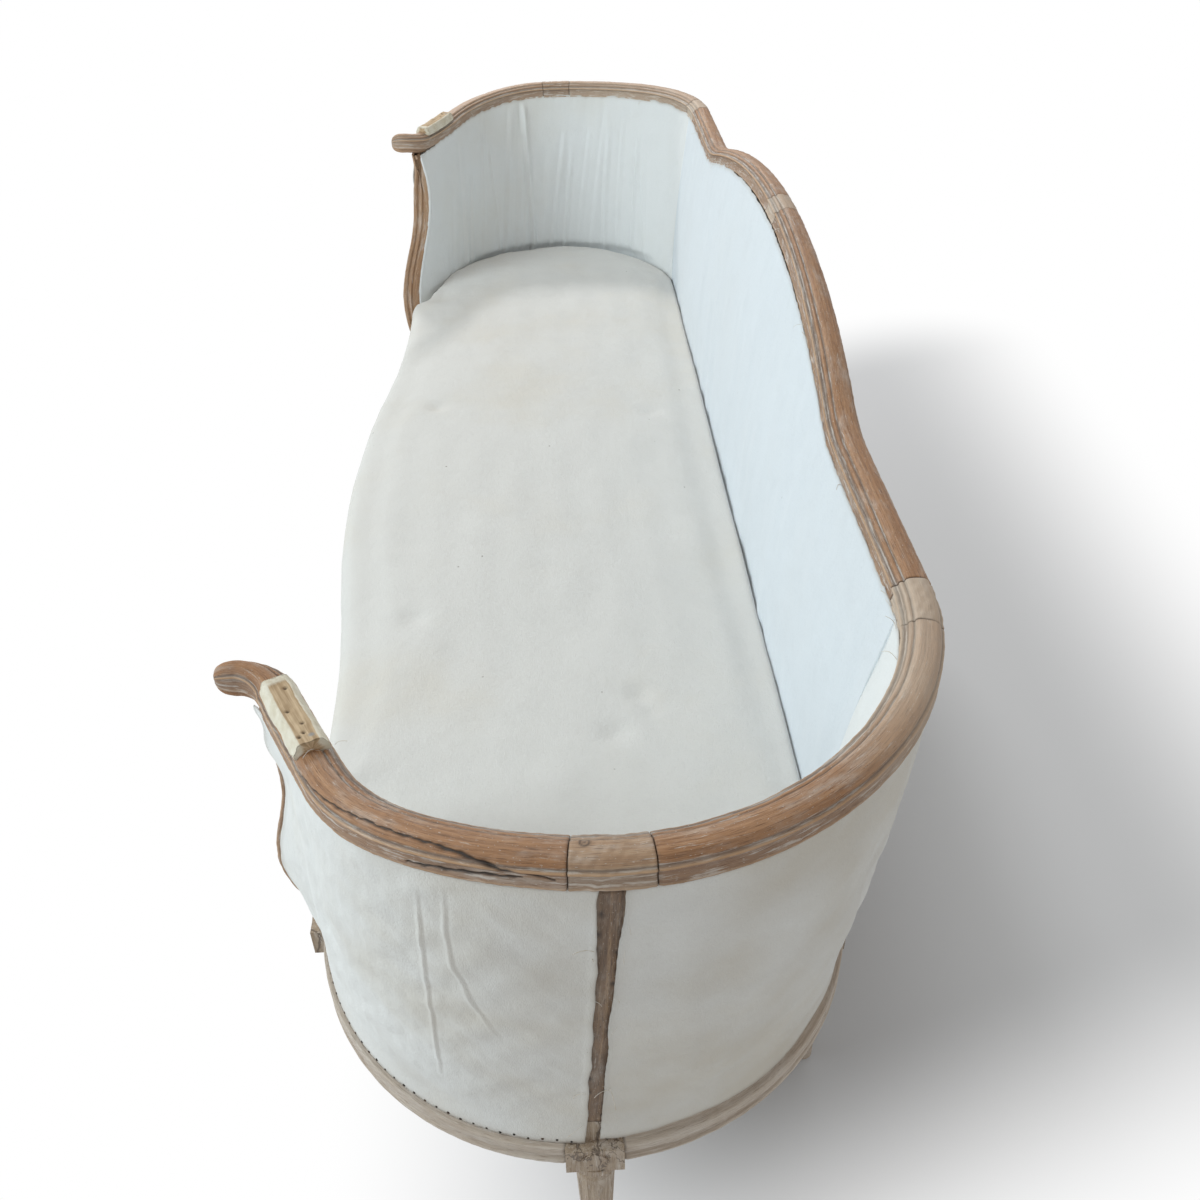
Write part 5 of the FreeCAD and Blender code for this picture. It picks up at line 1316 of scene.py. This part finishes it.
# Floor, light and camera.
# A pale floor with painted shade round the sofa that fades to white away from it, a large soft
# window in front of it, a small one beyond the far end, and the eye above the near end.
FLOOR = 30
WHITE = (1, 1, 1, 1)
floor_mesh = bpy.data.meshes.new("floor")
floor_mesh.from_pydata([(-FLOOR, -FLOOR, 0), (FLOOR, -FLOOR, 0), (FLOOR, FLOOR, 0), (-FLOOR, FLOOR, 0)],
                       [], [(0, 1, 2, 3)])
floor = bpy.data.objects.new("floor", floor_mesh)
bpy.context.scene.collection.objects.link(floor)
floor_paint = bpy.data.materials.new("pale_floor")
floor_paint.use_nodes = True
tree = floor_paint.node_tree
tree.nodes.clear()


def straight_rays(tree):
    """1 for what is seen from the eye, plainly or by a reflection."""
    seen = put(tree, "ShaderNodeLightPath").outputs
    mirrored_rays = summed(tree, "MAXIMUM", seen["Is Glossy Ray"], seen["Is Transmission Ray"])
    return summed(tree, "MAXIMUM", seen["Is Camera Ray"], mirrored_rays)


def outside(tree, spot, middle, half, squeeze):
    """How far a spot of the floor lies outside a rectangle."""
    away = vector(tree, "ABSOLUTE", vector(tree, "SUBTRACT", spot, middle))
    beyond = vector(tree, "MAXIMUM", vector(tree, "SUBTRACT", away, half), (0, 0, 0))
    return vector(tree, "LENGTH", vector(tree, "MULTIPLY", beyond, squeeze))


spot = place_on(tree)
# The floor seen by the eye is painted darker within about 0.4 m of the sofa: painted shade round its foot,
# over the real shading.
clear = between(tree, outside(tree, spot, (0, 0.02, 0), (0.95, 0.28, 0), (1, 1, 0)), 0.0, 0.42)
painted_floor_shade = mixed(tree, clear, (0.63, 0.645, 0.675), (0.83, 0.855, 0.895))
lean = vector(tree, "DOT_PRODUCT", spot, (0, 0.34, 0))
slanted = vector(tree, "ADD", spot, put(tree, "ShaderNodeCombineXYZ", {"X": lean}).outputs[0])
fade = between(tree, outside(tree, slanted, (0.0, 0.55, 0), (0.91, 0.30, 0), (1.4, 1, 0)), 0.0, 0.6)
plain = put(tree, "ShaderNodeBsdfDiffuse", {"Color": (0.8, 0.8, 0.8, 1)})
shaded = put(tree, "ShaderNodeBsdfDiffuse", {"Color": painted_floor_shade})
paper = put(tree, "ShaderNodeEmission", {"Color": WHITE, "Strength": 1.0})
ground = put(tree, "ShaderNodeMixShader", {0: fade, 1: shaded.outputs[0], 2: paper.outputs[0]})
both = put(tree, "ShaderNodeMixShader", {0: straight_rays(tree), 1: plain.outputs[0], 2: ground.outputs[0]})
put(tree, "ShaderNodeOutputMaterial", {"Surface": both.outputs[0]})
floor_mesh.materials.append(floor_paint)

world = bpy.data.worlds.new("studio")
bpy.context.scene.world = world
world.use_nodes = True
tree = world.node_tree
tree.nodes.clear()
fill = put(tree, "ShaderNodeBackground", {"Color": (1.0, 0.98, 0.94, 1), "Strength": 0.50})
backdrop = put(tree, "ShaderNodeBackground", {"Color": WHITE, "Strength": 1.0})
both = put(tree, "ShaderNodeMixShader", {0: straight_rays(tree), 1: fill.outputs[0], 2: backdrop.outputs[0]})
put(tree, "ShaderNodeOutputWorld", {"Surface": both.outputs[0]})


def lamp(name, spot, aim, size, power, colour):
    light = bpy.data.lights.new(name, "AREA")
    light.energy, light.size, light.color = power, size, colour
    holder = bpy.data.objects.new(name, light)
    holder.location = spot
    holder.rotation_euler = (Vector(aim) - Vector(spot)).to_track_quat("-Z", "Y").to_euler()
    bpy.context.scene.collection.objects.link(holder)


lamp("window", (0.9, -3.2, 2.5), (0.1, 0.0, 0.5), 2.2, 83, (0.83, 0.95, 1.0))
lamp("far_window", (-3.3, -0.5, 2.65), (-0.2, 0.0, 0.45), 0.4, 46, (1.0, 0.985, 0.96))

SENSOR, LENS = 36, 35.1
EYE = Vector((1.700, 0.002, 1.451))
PITCH, YAW, ROLL = math.radians(36.78), math.radians(-2.017), math.radians(-1.235)
ahead = Vector((-math.cos(PITCH) * math.cos(YAW), -math.cos(PITCH) * math.sin(YAW), -math.sin(PITCH)))
level = Vector((-math.sin(YAW), math.cos(YAW), 0))
above = level.cross(ahead)
right = math.cos(ROLL) * level + math.sin(ROLL) * above
above = -math.sin(ROLL) * level + math.cos(ROLL) * above
camera = bpy.data.cameras.new("camera")
camera.sensor_width, camera.lens = SENSOR, LENS
viewer = bpy.data.objects.new("camera", camera)
bpy.context.scene.collection.objects.link(viewer)
stand = Matrix((right, above, -ahead)).transposed().to_4x4()
stand.translation = EYE
viewer.matrix_world = stand
bpy.context.scene.camera = viewer
bpy.context.scene.view_settings.view_transform = "Standard"
